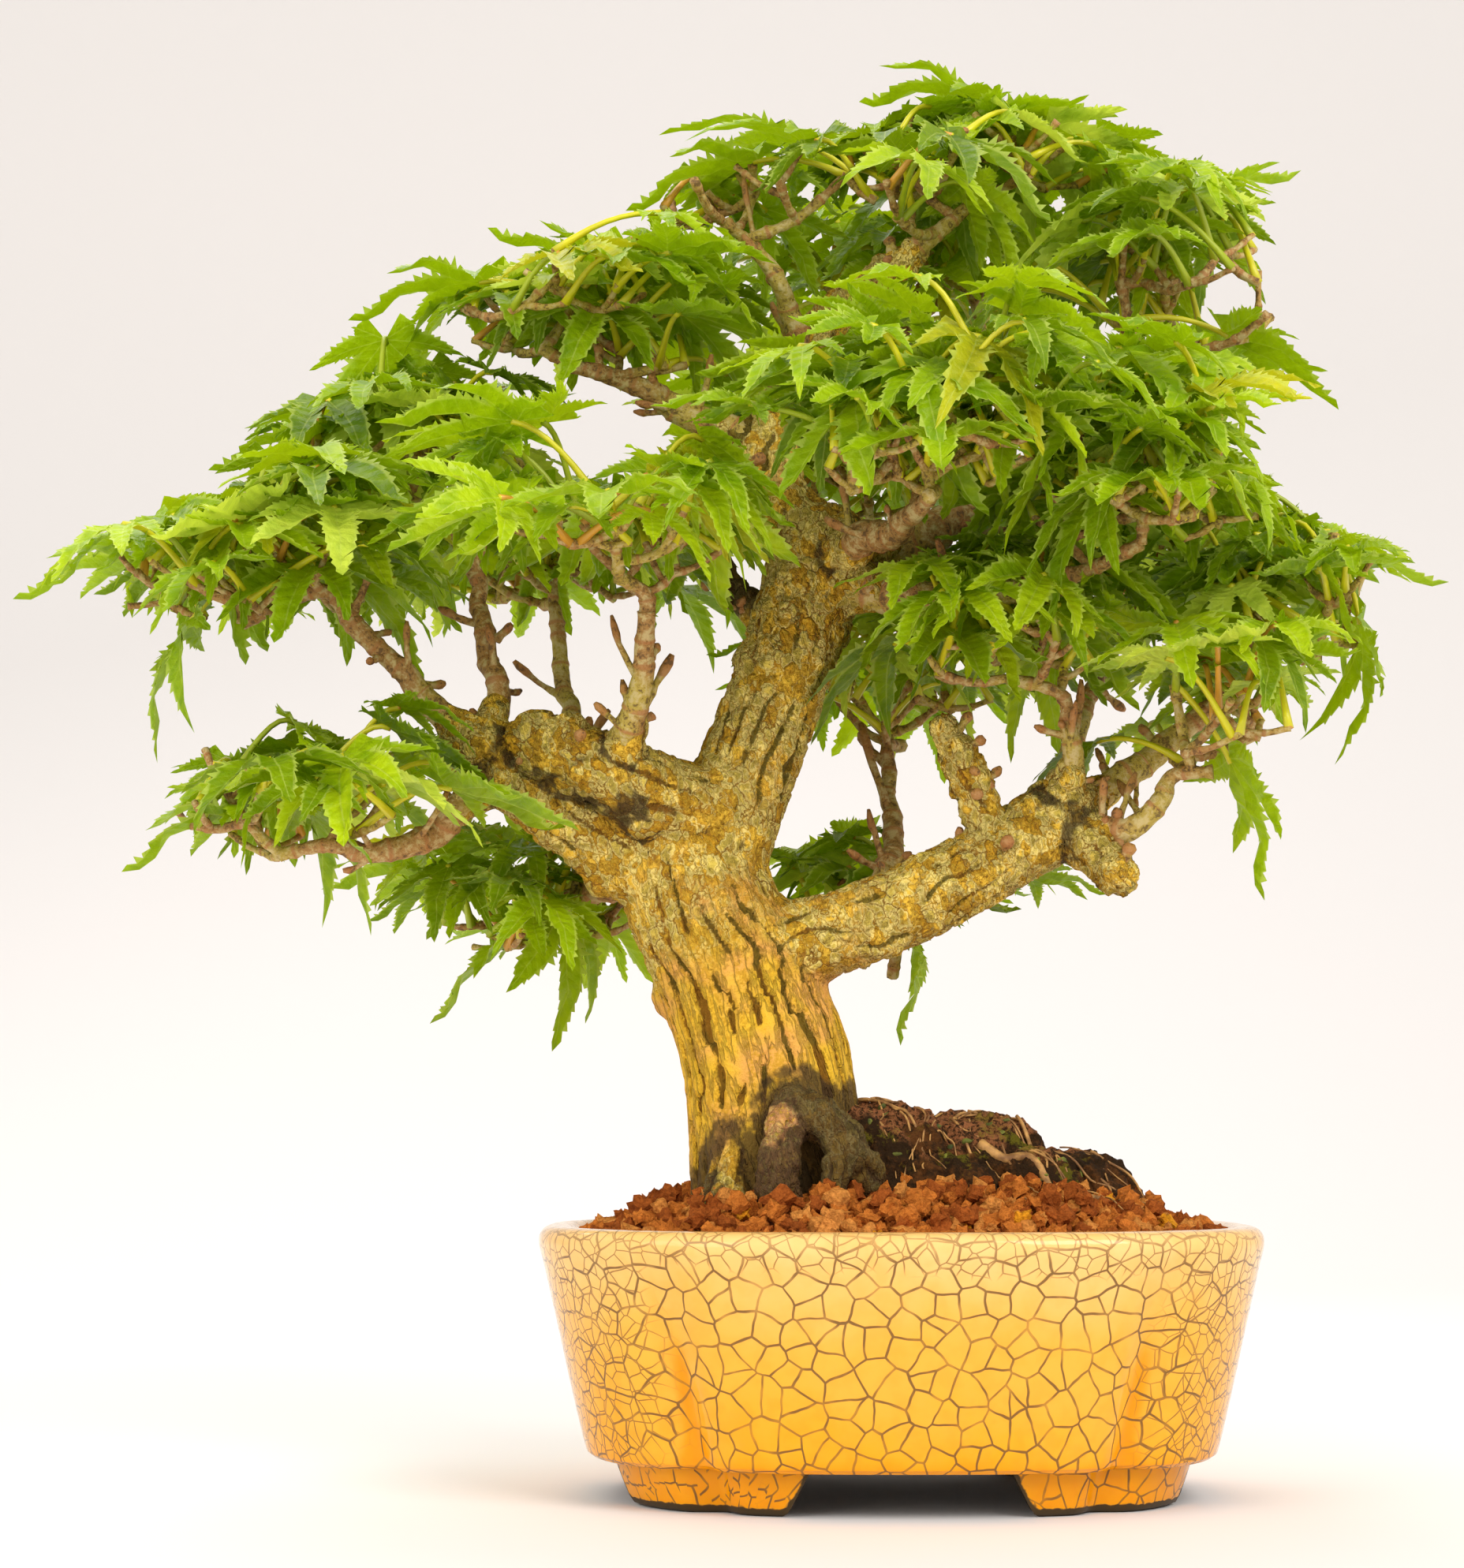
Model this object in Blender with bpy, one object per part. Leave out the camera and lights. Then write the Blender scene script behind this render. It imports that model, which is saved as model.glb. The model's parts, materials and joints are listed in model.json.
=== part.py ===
"""Dwarf lion-head Japanese maple, trained as a bonsai, in its lobed crackle-glazed pot.

X runs to the right, Y to the back and Z up. The origin lies on the ground, under the middle of the whole
plant's box. Sizes are in millimetres, and become metres where a mesh is made.
"""

import math
import random
from dataclasses import dataclass

import bmesh
import bpy
import numpy as np
from mathutils import Matrix, Vector
from mathutils.bvhtree import BVHTree

MM = 0.001
GAP = 0.3
WELD = 0.000002

# The pot: an oblong with four lobes, on four corner feet
POT_X = 39.5
POT_HALF_WIDTH = 85.0
POT_HALF_DEPTH = 68.0
POT_HEIGHT = 62.8
POT_SQUARENESS = 2.7
POT_STEPS = 48
GROOVE_TURN = math.radians(54.0)
GROOVE_SPREAD = math.radians(5.5)
FOOT_HEIGHT = 10.0
FOOT_INSET = 16.7
FOOT_LEAN = 2.8
FOOT_THICK = 10.0
FOOT_CUT_FRONT = 22.0
FOOT_CUT_SIDE = 18.0
FOOT_CUT_SLOPE = 5.5
FOOT_STEPS = 9
FLOOR_THICK = 6.0

# The soil: a low mound with a level top, that the trunk and its roots stand on
SOIL_EDGE = 60.8
SOIL_TOP = 66.5
TRUNK_CUT = SOIL_TOP + GAP

# The trunk: x, y, z and radius from below the cut up to the fork
TRUNK = (
    (12.5, -2.0, 56.0, 21.5),
    (10.5, -1.0, 76.0, 20.0),
    (8.5, 0.0, 100.0, 19.8),
    (1.0, 1.0, 121.0, 18.2),
    (-8.0, 1.0, 140.0, 17.2),
    (-13.0, 1.0, 153.0, 12.0),
)
TRUNK_SIDES = 12
LIMB_SIDES = 8
BOUGH_SIDES = 6

# The old root ball right of the trunk: x, y and half sizes of the lumps that make it
ROOT_LUMPS = (
    (34.0, 0.0, (21.0, 23.0, 26.5)),
    (56.0, 7.0, (25.0, 20.0, 23.5)),
    (80.0, 4.0, (20.0, 15.0, 14.0)),
    (48.0, -12.0, (19.0, 13.0, 13.0)),
)

# The leaves: lobes of a hand, as turn in degrees and reach, on a stalk
LOBES = ((0.0, 34.0), (21.0, 9.5), (44.0, 30.0), (68.0, 8.5), (100.0, 19.0))
LEAF_HEART = 5.0
LEAF_THICK = 2.2
LEAF_DROOP = 0.3
STALK_LENGTH = 17.0
STALK_RADIUS = 0.8
TWIG_RADIUS = 1.1
SHORTEST_TWIG = 5.0
LEAF_STEP = 2.6
LEAF_SIZES = (0.85, 1.15)
HEART_DROP = 0.25
LEAVES_A_SHOOT = 3
LEAF_TRIES = 60
SHOOT_DEPTH = 0.42

# The crown's box, and how much a height counts against a width where two masses meet
CROWN_LOW = (-173.5, -112.0, 100.0)
CROWN_HIGH = (175.5, 112.0, 345.5)
HEIGHT_WEIGHT = 1.35
OVERREACH = 12.0
LIMB_MARGIN = 0.7
SEED = 1729

# The sky that shows through the crown from the front, as seen from the viewing point on the plane y = 0
VIEW_POINT = (0.0, -740.0, 85.0)


@dataclass(frozen=True)
class Limb:
    """A limb that leaves its parent part of the way along it, and bows on its way to its tip."""

    name: str
    parent: str
    along: float
    tip: tuple
    bow: tuple
    radii: tuple


@dataclass(frozen=True)
class Mass:
    """Foliage on the tip of one bough: its middle, half sizes, shoots and furthest leaf tips."""

    name: str
    bough: str
    middle: tuple
    half: tuple
    shoots: int
    reach: tuple


@dataclass(frozen=True)
class Window:
    """An oval of open sky: its middle and half sizes across and up, on the plane y = 0."""

    x: float
    z: float
    half_x: float
    half_z: float


WINDOWS = (
    Window(-27.0, 251.0, 14.0, 9.0),
    Window(-62.0, 190.0, 15.0, 8.0),
    Window(-88.0, 178.0, 13.0, 7.0),
    Window(47.0, 157.0, 22.0, 9.0),
    Window(-2.0, 196.0, 5.0, 9.0),
)

LIMBS = (
    Limb("leader", "trunk", 0.88, (22.0, 0.0, 226.0), (1.5, 0.0, 0.0), (12.5, 10.8)),
    Limb("limb_left", "trunk", 0.86, (-62.0, -8.0, 176.0), (0.0, 0.0, -2.0), (9.5, 6.4)),
    Limb("limb_right", "trunk", 0.70, (81.0, 0.0, 162.0), (4.0, -6.0, -4.0), (10.5, 8.0)),
    Limb("knuckle", "leader", 0.22, (-47.0, -13.0, 178.0), (0.0, -6.0, -1.0), (9.8, 6.0)),
    Limb("leader_top", "leader", 0.97, (45.0, 0.0, 301.0), (-23.0, 6.0, 0.0), (9.6, 2.9)),
    Limb("stub_dark", "leader", 0.74, (-3.0, 8.0, 224.0), (-2.0, 4.0, 0.0), (3.9, 3.1)),
    Limb("stub_right", "limb_right", 0.96, (92.0, -16.0, 144.0), (2.0, 0.0, -1.0), (5.5, 3.4)),
    Limb("bough_left_high", "limb_left", 0.94, (-92.0, -12.0, 207.0), (2.0, 0.0, -2.0), (4.6, 2.3)),
    Limb("bough_left_low", "limb_left", 0.90, (-90.0, -15.0, 151.0), (0.0, 0.0, -7.0), (4.6, 2.2)),
    Limb("bough_left_tier", "limb_left", 0.96, (-70.0, 14.0, 234.0), (7.0, -2.0, -4.0), (3.6, 1.8)),
    Limb("bough_left_front", "knuckle", 0.62, (-20.0, -34.0, 205.0), (3.0, -2.0, -2.0), (4.2, 2.1)),
    Limb("bough_left_back", "limb_left", 0.62, (-46.0, 57.0, 217.0), (4.0, 8.0, -12.0), (4.2, 2.0)),
    Limb("bough_low_back", "trunk", 0.90, (-44.0, 46.0, 139.0), (-3.0, 6.0, 5.0), (5.4, 2.1)),
    Limb("bough_upper_left", "leader_top", 0.30, (-36.0, -4.0, 270.0), (0.0, 0.0, 3.0), (5.0, 1.9)),
    Limb("bough_apex_left", "leader_top", 0.50, (6.0, -6.0, 299.0), (7.0, 0.0, 0.0), (4.2, 1.8)),
    Limb("bough_upper_right", "leader", 0.98, (98.0, 8.0, 268.0), (8.0, 8.0, -6.0), (6.8, 2.0)),
    Limb("bough_front", "leader", 0.97, (44.0, -46.0, 228.0), (3.0, -3.0, -1.0), (5.2, 2.0)),
    Limb("bough_right_mid", "leader", 0.92, (78.0, -34.0, 213.0), (4.0, -4.0, -5.0), (6.4, 2.2)),
    Limb("bough_right_out", "limb_right", 0.97, (126.0, 3.0, 197.0), (0.0, 6.0, -3.0), (4.8, 1.9)),
    Limb("bough_right_low", "limb_right", 0.95, (103.0, -13.0, 165.0), (3.0, -2.0, -6.0), (4.4, 2.2)),
    Limb("bough_right_up", "limb_right", 0.93, (80.0, -11.0, 183.0), (3.0, -1.0, 0.0), (4.6, 1.8)),
    Limb("bough_right_inner", "limb_right", 0.76, (51.0, -9.0, 181.0), (2.0, 0.0, -1.0), (4.2, 3.2)),
    Limb("bough_right_back", "limb_right", 0.86, (96.0, 50.0, 206.0), (0.0, 10.0, -6.0), (4.6, 2.0)),
    Limb("bough_centre_back", "limb_right", 0.40, (40.0, 42.0, 179.0), (2.0, 4.0, -4.0), (4.4, 1.8)),
    Limb("bough_under_back", "trunk", 0.74, (38.0, 56.0, 137.0), (-4.0, 6.0, 4.0), (5.0, 2.0)),
    Limb("bough_mid_back", "leader", 0.95, (23.0, 62.0, 243.0), (2.0, 0.0, -3.0), (5.6, 2.0)),
    Limb("bough_high_back", "leader_top", 0.52, (38.0, 50.0, 293.0), (0.0, 6.0, -4.0), (4.4, 2.0)),
)

MASSES = (
    Mass("leaves_far_left", "bough_left_high", (-118.0, -8.0, 213.0), (56.0, 42.0, 26.0), 10,
         ((-173.0, -10.0, 212.0), (-137.0, -12.0, 172.0))),
    Mass("leaves_low_left", "bough_left_low", (-107.0, -14.0, 156.0), (42.0, 36.0, 24.0), 8,
         ((-145.0, -12.0, 146.0), (-86.0, -8.0, 131.0))),
    Mass("leaves_left_tier", "bough_left_tier", (-82.0, 16.0, 248.0), (52.0, 40.0, 24.0), 9,
         ((-131.0, 15.0, 249.0), (-98.0, 16.0, 273.0))),
    Mass("leaves_left_front", "bough_left_front", (-26.0, -42.0, 218.0), (42.0, 44.0, 26.0), 8,
         ((25.0, -38.0, 228.0), (-28.0, -111.0, 212.0))),
    Mass("leaves_left_back", "bough_left_back", (-50.0, 70.0, 230.0), (44.0, 42.0, 22.0), 9,
         ((-60.0, 111.0, 222.0),)),
    Mass("leaves_low_back", "bough_low_back", (-50.0, 52.0, 135.0), (42.0, 38.0, 28.0), 9,
         ((-77.0, 45.0, 112.0), (-46.0, 48.0, 105.0))),
    Mass("leaves_upper_left", "bough_upper_left", (-46.0, -5.0, 281.0), (48.0, 40.0, 25.0), 8,
         ((-94.0, -5.0, 282.0), (-60.0, -6.0, 305.0))),
    Mass("leaves_apex_left", "bough_apex_left", (-2.0, -10.0, 311.0), (35.0, 38.0, 24.0), 9,
         ((-26.0, -10.0, 308.0), (-18.0, -10.0, 327.0))),
    Mass("leaves_apex", "leader_top", (60.0, 0.0, 320.0), (46.0, 42.0, 26.0), 10,
         ((32.0, 0.0, 344.5), (69.0, 0.0, 345.0), (96.0, 0.0, 337.0))),
    Mass("leaves_upper_right", "bough_upper_right", (116.0, 2.0, 286.0), (42.0, 40.0, 38.0), 13,
         ((142.0, 5.0, 323.0), (150.0, 5.0, 262.0))),
    Mass("leaves_front", "bough_front", (44.0, -64.0, 233.0), (42.0, 44.0, 28.0), 9,
         ((44.0, -111.5, 222.0),)),
    Mass("leaves_right_mid", "bough_right_mid", (94.0, -44.0, 226.0), (42.0, 42.0, 28.0), 12,
         ((100.0, -100.0, 216.0),)),
    Mass("leaves_right_out", "bough_right_out", (142.0, 0.0, 205.0), (40.0, 42.0, 26.0), 9,
         ((175.0, 0.0, 218.0), (146.0, 0.0, 173.0))),
    Mass("leaves_right_low", "bough_right_low", (114.0, -16.0, 176.0), (34.0, 34.0, 26.0), 7,
         ((126.0, -14.0, 139.0),)),
    Mass("leaves_right_inner", "bough_right_up", (66.0, -12.0, 198.0), (36.0, 36.0, 22.0), 9, ()),
    Mass("leaves_right_back", "bough_right_back", (108.0, 64.0, 222.0), (44.0, 42.0, 34.0), 10,
         ((112.0, 110.0, 212.0),)),
    Mass("leaves_centre_back", "bough_centre_back", (44.0, 54.0, 192.0), (40.0, 40.0, 30.0), 9, ()),
    Mass("leaves_under_back", "bough_under_back", (42.0, 66.0, 131.0), (32.0, 34.0, 24.0), 7,
         ((44.0, 66.0, 107.0),)),
    Mass("leaves_mid_back", "bough_mid_back", (22.0, 78.0, 252.0), (42.0, 36.0, 30.0), 9,
         ((22.0, 111.5, 244.0),)),
    Mass("leaves_high_back", "bough_high_back", (46.0, 58.0, 302.0), (46.0, 42.0, 26.0), 10, ()),
)

FINISHES = {
    "glaze": ((0.86, 0.58, 0.19), 0.12),
    "soil": ((0.26, 0.075, 0.025), 0.9),
    "old_roots": ((0.06, 0.045, 0.03), 0.95),
    "bark": ((0.40, 0.27, 0.09), 0.8),
    "leaves": ((0.09, 0.28, 0.03), 0.5),
}


def finish(name):
    """The material of one finish, made when it is first asked for."""
    material = bpy.data.materials.get(name)
    if material is None:
        colour, roughness = FINISHES[name]
        material = bpy.data.materials.new(name)
        material.use_nodes = True
        shader = material.node_tree.nodes["Principled BSDF"]
        shader.inputs["Base Color"].default_value = (*colour, 1.0)
        shader.inputs["Roughness"].default_value = roughness
        shader.inputs["Metallic"].default_value = 0.0
    return material


def mesh_object(name, points, faces, collection):
    """An object whose mesh has the points, in millimetres, and faces given."""
    mesh = bpy.data.meshes.new(name)
    mesh.from_pydata([tuple(float(v) * MM for v in p) for p in points], [], faces)
    thing = bpy.data.objects.new(name, mesh)
    collection.objects.link(thing)
    return thing


def dressed(thing, name):
    """The object with one finish on it."""
    thing.data.materials.clear()
    thing.data.materials.append(finish(name))
    return thing


def evaluated_mesh(thing):
    """A new mesh of the object as its modifiers leave it."""
    bpy.context.view_layer.update()
    graph = bpy.context.evaluated_depsgraph_get()
    return bpy.data.meshes.new_from_object(thing.evaluated_get(graph))


def remove(thing):
    """Takes an object out of the scene."""
    bpy.data.objects.remove(thing, do_unlink=True)


def keep_largest_shell(mesh):
    """Leaves the largest closed shell, which drops scraps and fills sealed hollows."""
    shape = bmesh.new()
    shape.from_mesh(mesh)
    unseen = set(shape.faces)
    shells = []
    while unseen:
        front = [unseen.pop()]
        shell = list(front)
        while front:
            face = front.pop()
            near = {f for e in face.edges for f in e.link_faces if f in unseen}
            unseen -= near
            front.extend(near)
            shell.extend(near)
        shells.append(shell)
    shells.sort(key=shell_size)
    for shell in shells[:-1]:
        bmesh.ops.delete(shape, geom=shell, context="FACES")
    loose = [v for v in shape.verts if not v.link_faces]
    bmesh.ops.delete(shape, geom=loose, context="VERTS")
    shape.to_mesh(mesh)
    shape.free()


def shell_size(shell):
    """The diagonal of a shell's box."""
    places = np.array([v.co for face in shell for v in face.verts])
    return float(np.linalg.norm(places.max(axis=0) - places.min(axis=0)))


def combine(thing, operation, others, solver="EXACT"):
    """The object joined with others, or cut by them, and then made one plain mesh."""
    group = bpy.data.collections.new("operands")
    for other in others:
        group.objects.link(other)
    change = thing.modifiers.new("change", "BOOLEAN")
    change.operation = operation
    change.operand_type = "COLLECTION"
    change.collection = group
    change.solver = solver
    mesh = evaluated_mesh(thing)
    thing.modifiers.remove(change)
    thing.data = mesh
    keep_largest_shell(mesh)
    for other in others:
        remove(other)
    bpy.data.collections.remove(group)
    return thing


def flat_cut(thing, height):
    """Cuts the object level at a height in millimetres, and closes the cut."""
    shape = bmesh.new()
    shape.from_mesh(thing.data)
    geometry = shape.verts[:] + shape.edges[:] + shape.faces[:]
    cut = bmesh.ops.bisect_plane(shape, geom=geometry, plane_co=(0.0, 0.0, height * MM),
                                 plane_no=(0.0, 0.0, 1.0), clear_inner=True)
    rim = [e for e in cut["geom_cut"] if isinstance(e, bmesh.types.BMEdge)]
    bmesh.ops.contextual_create(shape, geom=rim)
    bmesh.ops.recalc_face_normals(shape, faces=shape.faces)
    shape.to_mesh(thing.data)
    shape.free()


# The pot

def outline(inset, groove):
    """Points of the lobed plan, inset from the rim's edge, with its four grooves so deep."""
    turn = np.linspace(0.0, 2.0 * math.pi, POT_STEPS, endpoint=False)
    return outline_at(turn, inset, groove)


def outline_at(turn, inset, groove):
    """The plan's points at the turns given: a squared oval, drawn in round each groove."""
    power = 2.0 / POT_SQUARENESS
    across, along = np.cos(turn), np.sin(turn)
    x = (POT_HALF_WIDTH - inset) * np.sign(across) * np.abs(across) ** power
    y = (POT_HALF_DEPTH - inset) * np.sign(along) * np.abs(along) ** power
    from_groove = np.arctan2(np.abs(along), np.abs(across)) - GROOVE_TURN
    depth = groove * np.exp(-((from_groove / GROOVE_SPREAD) ** 2))
    drawn = 1.0 - depth / np.hypot(x, y)
    return np.column_stack((POT_X + x * drawn, y * drawn))


def loft(name, rings, collection):
    """A closed solid through rings of equal count, with flat ends."""
    count = len(rings[0])
    points = np.concatenate(rings)
    faces = []
    for level in range(len(rings) - 1):
        low, high = level * count, (level + 1) * count
        for k in range(count):
            n = (k + 1) % count
            faces.append((low + k, low + n, high + n, high + k))
    last = (len(rings) - 1) * count
    faces.append(tuple(reversed(range(count))))
    faces.append(tuple(last + k for k in range(count)))
    return mesh_object(name, points, faces, collection)


def ring(inset, height, groove):
    """One level ring of the pot's plan."""
    plan = outline(inset, groove)
    return np.column_stack((plan, np.full(len(plan), height)))


def pot_body(collection):
    """The bowl: underside, sloping wall with its grooves, rounded rim, inner wall and floor."""
    top = POT_HEIGHT
    profile = (
        (15.0, FOOT_HEIGHT, 4.5), (12.0, FOOT_HEIGHT + 0.8, 4.6), (10.8, FOOT_HEIGHT + 3.0, 4.6),
        (7.6, 26.0, 4.2), (4.4, 40.0, 3.0), (1.4, 53.0, 1.2), (0.0, top - 4.0, 0.2),
        (0.5, top - 1.3, 0.0), (2.4, top, 0.0), (6.4, top, 0.0), (8.6, top - 1.8, 0.0),
        (9.2, top - 6.0, 0.0), (17.0, FOOT_HEIGHT + FLOOR_THICK, 0.0),
    )
    return dressed(loft("pot", [ring(*row) for row in profile], collection), "glaze")


def foot_turns(cut_front, cut_side, inset):
    """The plan's turns at which one corner foot starts and ends."""
    power = POT_SQUARENESS / 2.0
    start = math.asin((cut_side / (POT_HALF_DEPTH - inset)) ** power)
    end = math.acos((cut_front / (POT_HALF_WIDTH - inset)) ** power)
    return np.linspace(start, end, FOOT_STEPS)


def pot_foot(name, side, back, collection):
    """One corner foot: a bent bar under the bowl, its outer face leaning in and its ends cut at a slope."""
    strips = []
    for height, lean, slope in ((FOOT_HEIGHT - GAP, 0.0, 0.0), (0.0, FOOT_LEAN, FOOT_CUT_SLOPE)):
        for thick in (0.0, FOOT_THICK):
            inset = FOOT_INSET + lean + thick
            turns = foot_turns(FOOT_CUT_FRONT + slope, FOOT_CUT_SIDE + slope, inset)
            plan = outline_at(turns, inset, 4.0 if thick == 0.0 else 1.0)
            plan = np.column_stack(((plan[:, 0] - POT_X) * side + POT_X, plan[:, 1] * back))
            strips.append(np.column_stack((plan, np.full(FOOT_STEPS, height))))
    outer_top, inner_top, outer_low, inner_low = strips
    stations = [np.array(four) for four in zip(outer_top, inner_top, inner_low, outer_low)]
    thing = loft(name, stations, collection)
    outward_faces(thing)
    return dressed(thing, "glaze")


def outward_faces(thing):
    """Turns every face of a closed mesh outwards."""
    shape = bmesh.new()
    shape.from_mesh(thing.data)
    bmesh.ops.recalc_face_normals(shape, faces=shape.faces)
    shape.to_mesh(thing.data)
    shape.free()


def soil(collection):
    """The soil that fills the bowl, with a shoulder that rises from the wall to the level top."""
    floor = FOOT_HEIGHT + FLOOR_THICK + GAP
    rings = (ring(17.0 + GAP, floor, 0.0), ring(9.3 + GAP, SOIL_EDGE - 4.0, 0.0),
             ring(9.2 + GAP, SOIL_EDGE, 0.0), ring(17.0, SOIL_EDGE + 3.4, 0.0), ring(25.0, SOIL_TOP, 0.0))
    return dressed(loft("soil", rings, collection), "soil")


# The limbs

def smooth_path(rows, steps):
    """A smooth curve through rows of numbers, by the mean-slope spline, with the steps given between rows."""
    rows = np.asarray(rows, float)
    slopes = np.gradient(rows, axis=0)
    t = np.linspace(0.0, 1.0, steps, endpoint=False)[:, None]
    blend = (2 * t**3 - 3 * t**2 + 1, t**3 - 2 * t**2 + t, -2 * t**3 + 3 * t**2, t**3 - t**2)
    pieces = [blend[0] * a + blend[1] * u + blend[2] * b + blend[3] * v
              for a, b, u, v in zip(rows, rows[1:], slopes, slopes[1:])]
    return np.concatenate(pieces + [rows[-1:]])


def point_along(path, share):
    """The place and radius a share of the way along a path."""
    length = np.concatenate(([0.0], np.cumsum(np.linalg.norm(np.diff(path[:, :3], axis=0), axis=1))))
    return np.array([np.interp(share * length[-1], length, column) for column in path.T])


def limb_path(limb, paths, steps=4):
    """Places and radii from the parent's middle to the tip, bowed by a parabola."""
    start = point_along(paths[limb.parent], limb.along)[:3]
    t = np.linspace(0.0, 1.0, steps + 1)[:, None]
    places = start * (1 - t) + np.array(limb.tip) * t + np.array(limb.bow) * 4 * t * (1 - t)
    radii = limb.radii[0] + (limb.radii[1] - limb.radii[0]) * t**0.8
    return np.hstack((places, radii))


def tube(name, path, sides, collection, fatter=0.0):
    """A round limb along a path, as a closed mesh, that can be made fatter to serve as a cutter."""
    curve = bpy.data.curves.new(name, "CURVE")
    curve.dimensions = "3D"
    curve.bevel_depth = MM
    curve.bevel_resolution = (sides - 4) // 2
    curve.use_fill_caps = True
    spline = curve.splines.new("POLY")
    spline.points.add(len(path) - 1)
    for point, (x, y, z, radius) in zip(spline.points, path):
        point.co = (x * MM, y * MM, z * MM, 1.0)
        point.radius = radius + fatter
    source = bpy.data.objects.new(name + "_line", curve)
    collection.objects.link(source)
    mesh = evaluated_mesh(source)
    shape = bmesh.new()
    shape.from_mesh(mesh)
    bmesh.ops.remove_doubles(shape, verts=shape.verts, dist=WELD)
    bmesh.ops.recalc_face_normals(shape, faces=shape.faces)
    shape.to_mesh(mesh)
    shape.free()
    remove(source)
    mesh.name = name
    thing = bpy.data.objects.new(name, mesh)
    collection.objects.link(thing)
    return thing


def limb_sides(name):
    """How many sides a limb has."""
    if name == "trunk":
        return TRUNK_SIDES
    return BOUGH_SIDES if name.startswith("bough") else LIMB_SIDES


def surface_tree(things):
    """A search tree of the faces of several objects, in metres."""
    points, faces = [], []
    for thing in things:
        base = len(points)
        points.extend(v.co.copy() for v in thing.data.vertices)
        faces.extend(tuple(base + v for v in face.vertices) for face in thing.data.polygons)
    return BVHTree.FromPolygons(points, faces)


def limbs(collection):
    """The trunk and every limb, each cut clear of those that were there before it."""
    paths = {"trunk": smooth_path(TRUNK, 2)}
    trunk = tube("trunk", paths["trunk"], TRUNK_SIDES, collection)
    flat_cut(trunk, TRUNK_CUT)
    made = {"trunk": dressed(trunk, "bark")}
    for limb in LIMBS:
        paths[limb.name] = limb_path(limb, paths)
        thing = tube(limb.name, paths[limb.name], limb_sides(limb.name), collection)
        own = surface_tree([thing])
        cutters = []
        for name in made:
            fat = tube(name + "_fat", paths[name], limb_sides(name), collection, fatter=GAP * 1.5)
            if own.overlap(surface_tree([fat])):
                cutters.append(fat)
            else:
                remove(fat)
        if cutters:
            combine(thing, "DIFFERENCE", cutters)
        made[limb.name] = dressed(thing, "bark")
    return paths, made


# The old roots

def lump(name, middle, half, collection):
    """A rounded lump, in millimetres, from an icosphere."""
    shape = bmesh.new()
    place = Matrix.Translation(Vector(middle) * MM) @ Matrix.Diagonal((*(h * MM for h in half), 1.0))
    bmesh.ops.create_icosphere(shape, subdivisions=2, radius=1.0, matrix=place)
    mesh = bpy.data.meshes.new(name)
    shape.to_mesh(mesh)
    shape.free()
    thing = bpy.data.objects.new(name, mesh)
    collection.objects.link(thing)
    return thing


def old_roots(paths, collection):
    """The old root ball that stands out of the soil right of the trunk, falling away to the right."""
    lumps = []
    for k, (x, y, half) in enumerate(ROOT_LUMPS):
        lumps.append(lump(f"root_lump_{k}", (x, y, SOIL_TOP), half, collection))
    mass = combine(lumps[0], "UNION", lumps[1:])
    mass.name = "old_roots"
    fat = tube("trunk_fat", paths["trunk"], TRUNK_SIDES, collection, fatter=GAP * 1.5)
    combine(mass, "DIFFERENCE", [fat])
    flat_cut(mass, TRUNK_CUT)
    return dressed(mass, "old_roots")


def root_knob(paths, roots, collection):
    """The thick old root that comes down in front of the trunk."""
    knob = lump("root_knob", (14.0, -20.0, SOIL_TOP + 4.0), (11.0, 11.5, 17.0), collection)
    fat = tube("trunk_fat", paths["trunk"], TRUNK_SIDES, collection, fatter=GAP * 1.5)
    combine(knob, "DIFFERENCE", [fat])
    flat_cut(knob, TRUNK_CUT)
    near = roots.copy()
    near.data = roots.data.copy()
    near.scale = (1.02, 1.02, 1.02)
    middle = (Vector(roots.bound_box[0]) + Vector(roots.bound_box[6])) / 2.0
    near.location = -0.02 * middle
    collection.objects.link(near)
    combine(knob, "DIFFERENCE", [near])
    return dressed(knob, "bark")


# The foliage

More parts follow.
